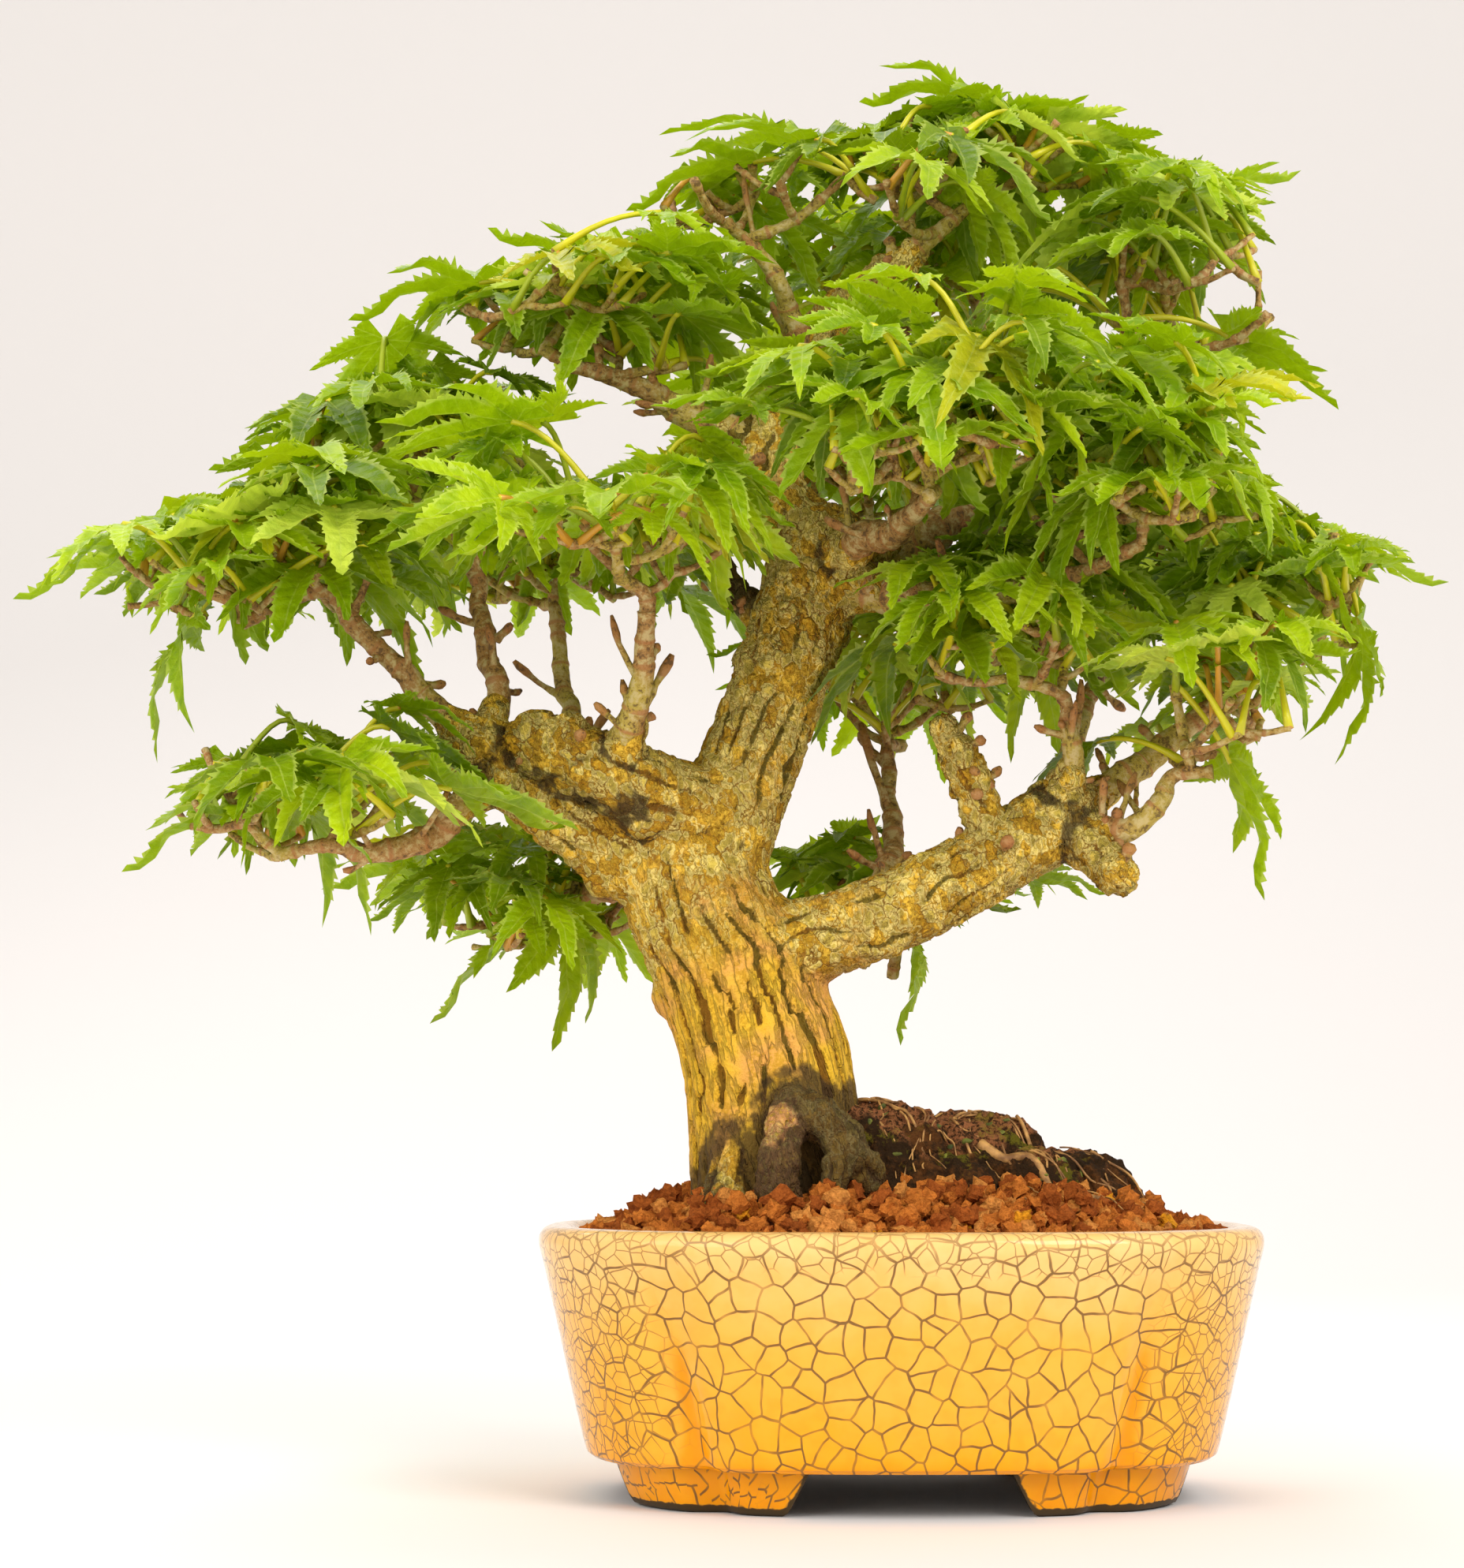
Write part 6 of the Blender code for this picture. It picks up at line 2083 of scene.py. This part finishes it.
    def stalk_piece(self, kinds: list[Material]) -> Object:
        """All leaf stalks of the mass: thin tubes that rise from the twig and level out at the blade.

        Args:
            kinds: the materials of the stalk tints.

        Returns:
            The piece.
        """
        feet, hubs, ways = [self.gathered(what, self.leaves) for what in ("foot", "hub", "axes")]
        ways = ways[:, 0]
        span = np.linalg.norm(hubs - feet, axis=1, keepdims=True)
        lift = feet + (hubs - feet) * 0.45 + (0.0, 0.0, 1.0) * span * 0.16
        last = hubs - ways * span * 0.22
        t = np.linspace(0.0, 1.0, 8)[None, :, None]
        rows = [feet[:, None], lift[:, None], last[:, None], hubs[:, None] + ways[:, None] * 1.2]
        blend = ((1 - t) ** 3, 3 * t * (1 - t) ** 2, 3 * t**2 * (1 - t), t**3)
        paths = sum(weight * row for weight, row in zip(blend, rows))
        swell = np.array((1.25, 0.95, 0.80, 0.74, 0.70, 0.70, 0.74, 0.85))
        tubes = sweep(paths, np.repeat(swell[None], len(feet), axis=0), 5)
        tints = self.gathered("tints", self.leaves)[:, 1]
        tubes.slots = [np.repeat(tints, len(group) // len(feet)) for group in tubes.faces]
        return seat(tubes.piece(f"{self.mass.name}.stalks", kinds), "leaves", self.mass.name)

    def twig_piece(self, bark: Material) -> Object:
        """All twigs of the mass, ringed, with a swelling at each end.

        Args:
            bark: the twigs' material.

        Returns:
            The piece.
        """
        parts = []
        for k, (path, radii) in enumerate(self.twigs):
            length = lengths_along(path)
            stations = max(int(length[-1] / 0.9), 8)
            where = np.linspace(0.0, length[-1], stations)
            ring = rings_along(where, 7 * self.own + k)
            bud = np.exp(-(((where[-1] - where) / 1.3) ** 2))
            thick = np.interp(where, length, radii) * (0.94 + 0.24 * ring + 0.25 * bud)
            thick *= 1.0 + 0.12 * noise(np.column_stack((where / 1.7, 0 * where + k, 0 * where)), SEED)
            parts.append(ringed_tube(rows_at(where, length, path), thick, ring, 7))
        return seat(joined(parts).piece(f"{self.mass.name}.twigs", [bark]), "leaves", self.mass.name)


@dataclass
class Crown:
    """The masses of foliage."""

    skeleton: Skeleton
    forms: tuple = (LeafForm(1, 0.55, 0.22), LeafForm(2, 0.42, 0.36), LeafForm(3, 0.70, 0.08),
                    LeafForm(4, 0.50, 0.50), LeafForm(5, 0.60, 0.30))

    def build(self) -> list[Object]:
        """The blades, stalks and twigs of every mass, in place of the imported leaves."""
        room = Room(self.skeleton)
        shapes = [form.surface() for form in self.forms]
        blades = [Leaf(*kind.value[:2]).material() for kind in LeafTint]
        stalks = [Stalk(*kind.value[:2]).material() for kind in StalkTint]
        bark = Twig().material()
        pieces = []
        for mass in MASSES:
            foliage = Foliage(mass, room, shapes)
            foliage.grow()
            pieces += [foliage.leaf_piece(blades), foliage.stalk_piece(stalks), foliage.twig_piece(bark)]
        log.info("the crown has %d leaves", len(room.centres))
        return pieces


# The stage

@dataclass
class Studio:
    """A pale sweep, soft lights, and the camera."""

    white: Paint = tint(241, 236, 232)

    def sweep_surface(self) -> Surface:
        """The floor and wall in one: level, then a quarter circle up, then upright."""
        turn = np.linspace(0.0, math.pi / 2.0, 25)
        bend = np.column_stack((900.0 + 900.0 * np.sin(turn), 900.0 - 900.0 * np.cos(turn)))
        profile = np.concatenate(([(-1600.0, 0.0)], bend, [(1800.0, 3600.0)]))
        left = np.column_stack((np.full(len(profile), -3200.0), profile))
        right = left * (-1.0, 1.0, 1.0)
        points = np.stack((left, right), axis=1).reshape(-1, 3)
        k = np.arange(len(profile) - 1) * 2
        return Surface(points, [np.column_stack((k, k + 1, k + 3, k + 2))])

    def lamp(self, name: str, place: tuple, size: float, power: float) -> None:
        """A square area light that faces the plant.

        Args:
            name: its name.
            place: where it hangs, in metres.
            size: its side, in metres.
            power: its strength, in watts.
        """
        light = bpy.data.lights.new(name, "AREA")
        light.size, light.energy = size, power
        thing = bpy.data.objects.new(name, light)
        thing.location = place
        away = np.array(place) - np.array((0.0, 0.0, 0.17))
        thing.rotation_euler = (math.acos(away[2] / np.linalg.norm(away)), 0.0,
                                math.atan2(away[1], away[0]) + math.pi / 2.0)
        bpy.context.scene.collection.objects.link(thing)

    def build(self) -> None:
        """Sets the sweep, the world, the lights and the camera."""
        g = Graph("studio_sweep")
        floor = self.sweep_surface().piece("studio_sweep", [g.surface(Base_Color=self.white, Roughness=0.9)])
        scene = bpy.context.scene
        world = bpy.data.worlds.new("studio")
        scene.world = world
        world.use_nodes = True
        world.node_tree.nodes["Background"].inputs["Color"].default_value = (1.0, 0.99, 0.98, 1.0)
        world.node_tree.nodes["Background"].inputs["Strength"].default_value = 0.78
        scene.view_settings.view_transform = "Standard"
        self.lamp("key", (0.70, -1.00, 0.95), 0.7, 12.0)
        self.lamp("fill", (-0.90, -0.95, 0.60), 0.9, 7.0)
        self.lamp("back", (-0.3, 0.7, 1.2), 1.0, 8.0)
        camera = bpy.data.cameras.new("photo")
        camera.lens, camera.sensor_width = LENS, 36.0
        thing = bpy.data.objects.new("photo", camera)
        thing.location = tuple(c * MM for c in EYE)
        thing.rotation_euler = (math.pi / 2.0 + LOOK_UP, 0.0, 0.0)
        scene.collection.objects.link(thing)
        scene.camera = thing


def main() -> None:
    """Builds every piece in its order."""
    logging.basicConfig(level=logging.INFO, format="%(name)s: %(message)s")
    skeleton = Skeleton()
    soil = Soil()
    wood = Wood(skeleton)
    Pot().build()
    soil.build()
    OldRoots(soil).build()
    wood.build()
    Boughs(skeleton).build(wood.stout)
    Crown(skeleton).build()
    Studio().build()


if __name__ == "__main__":
    main()
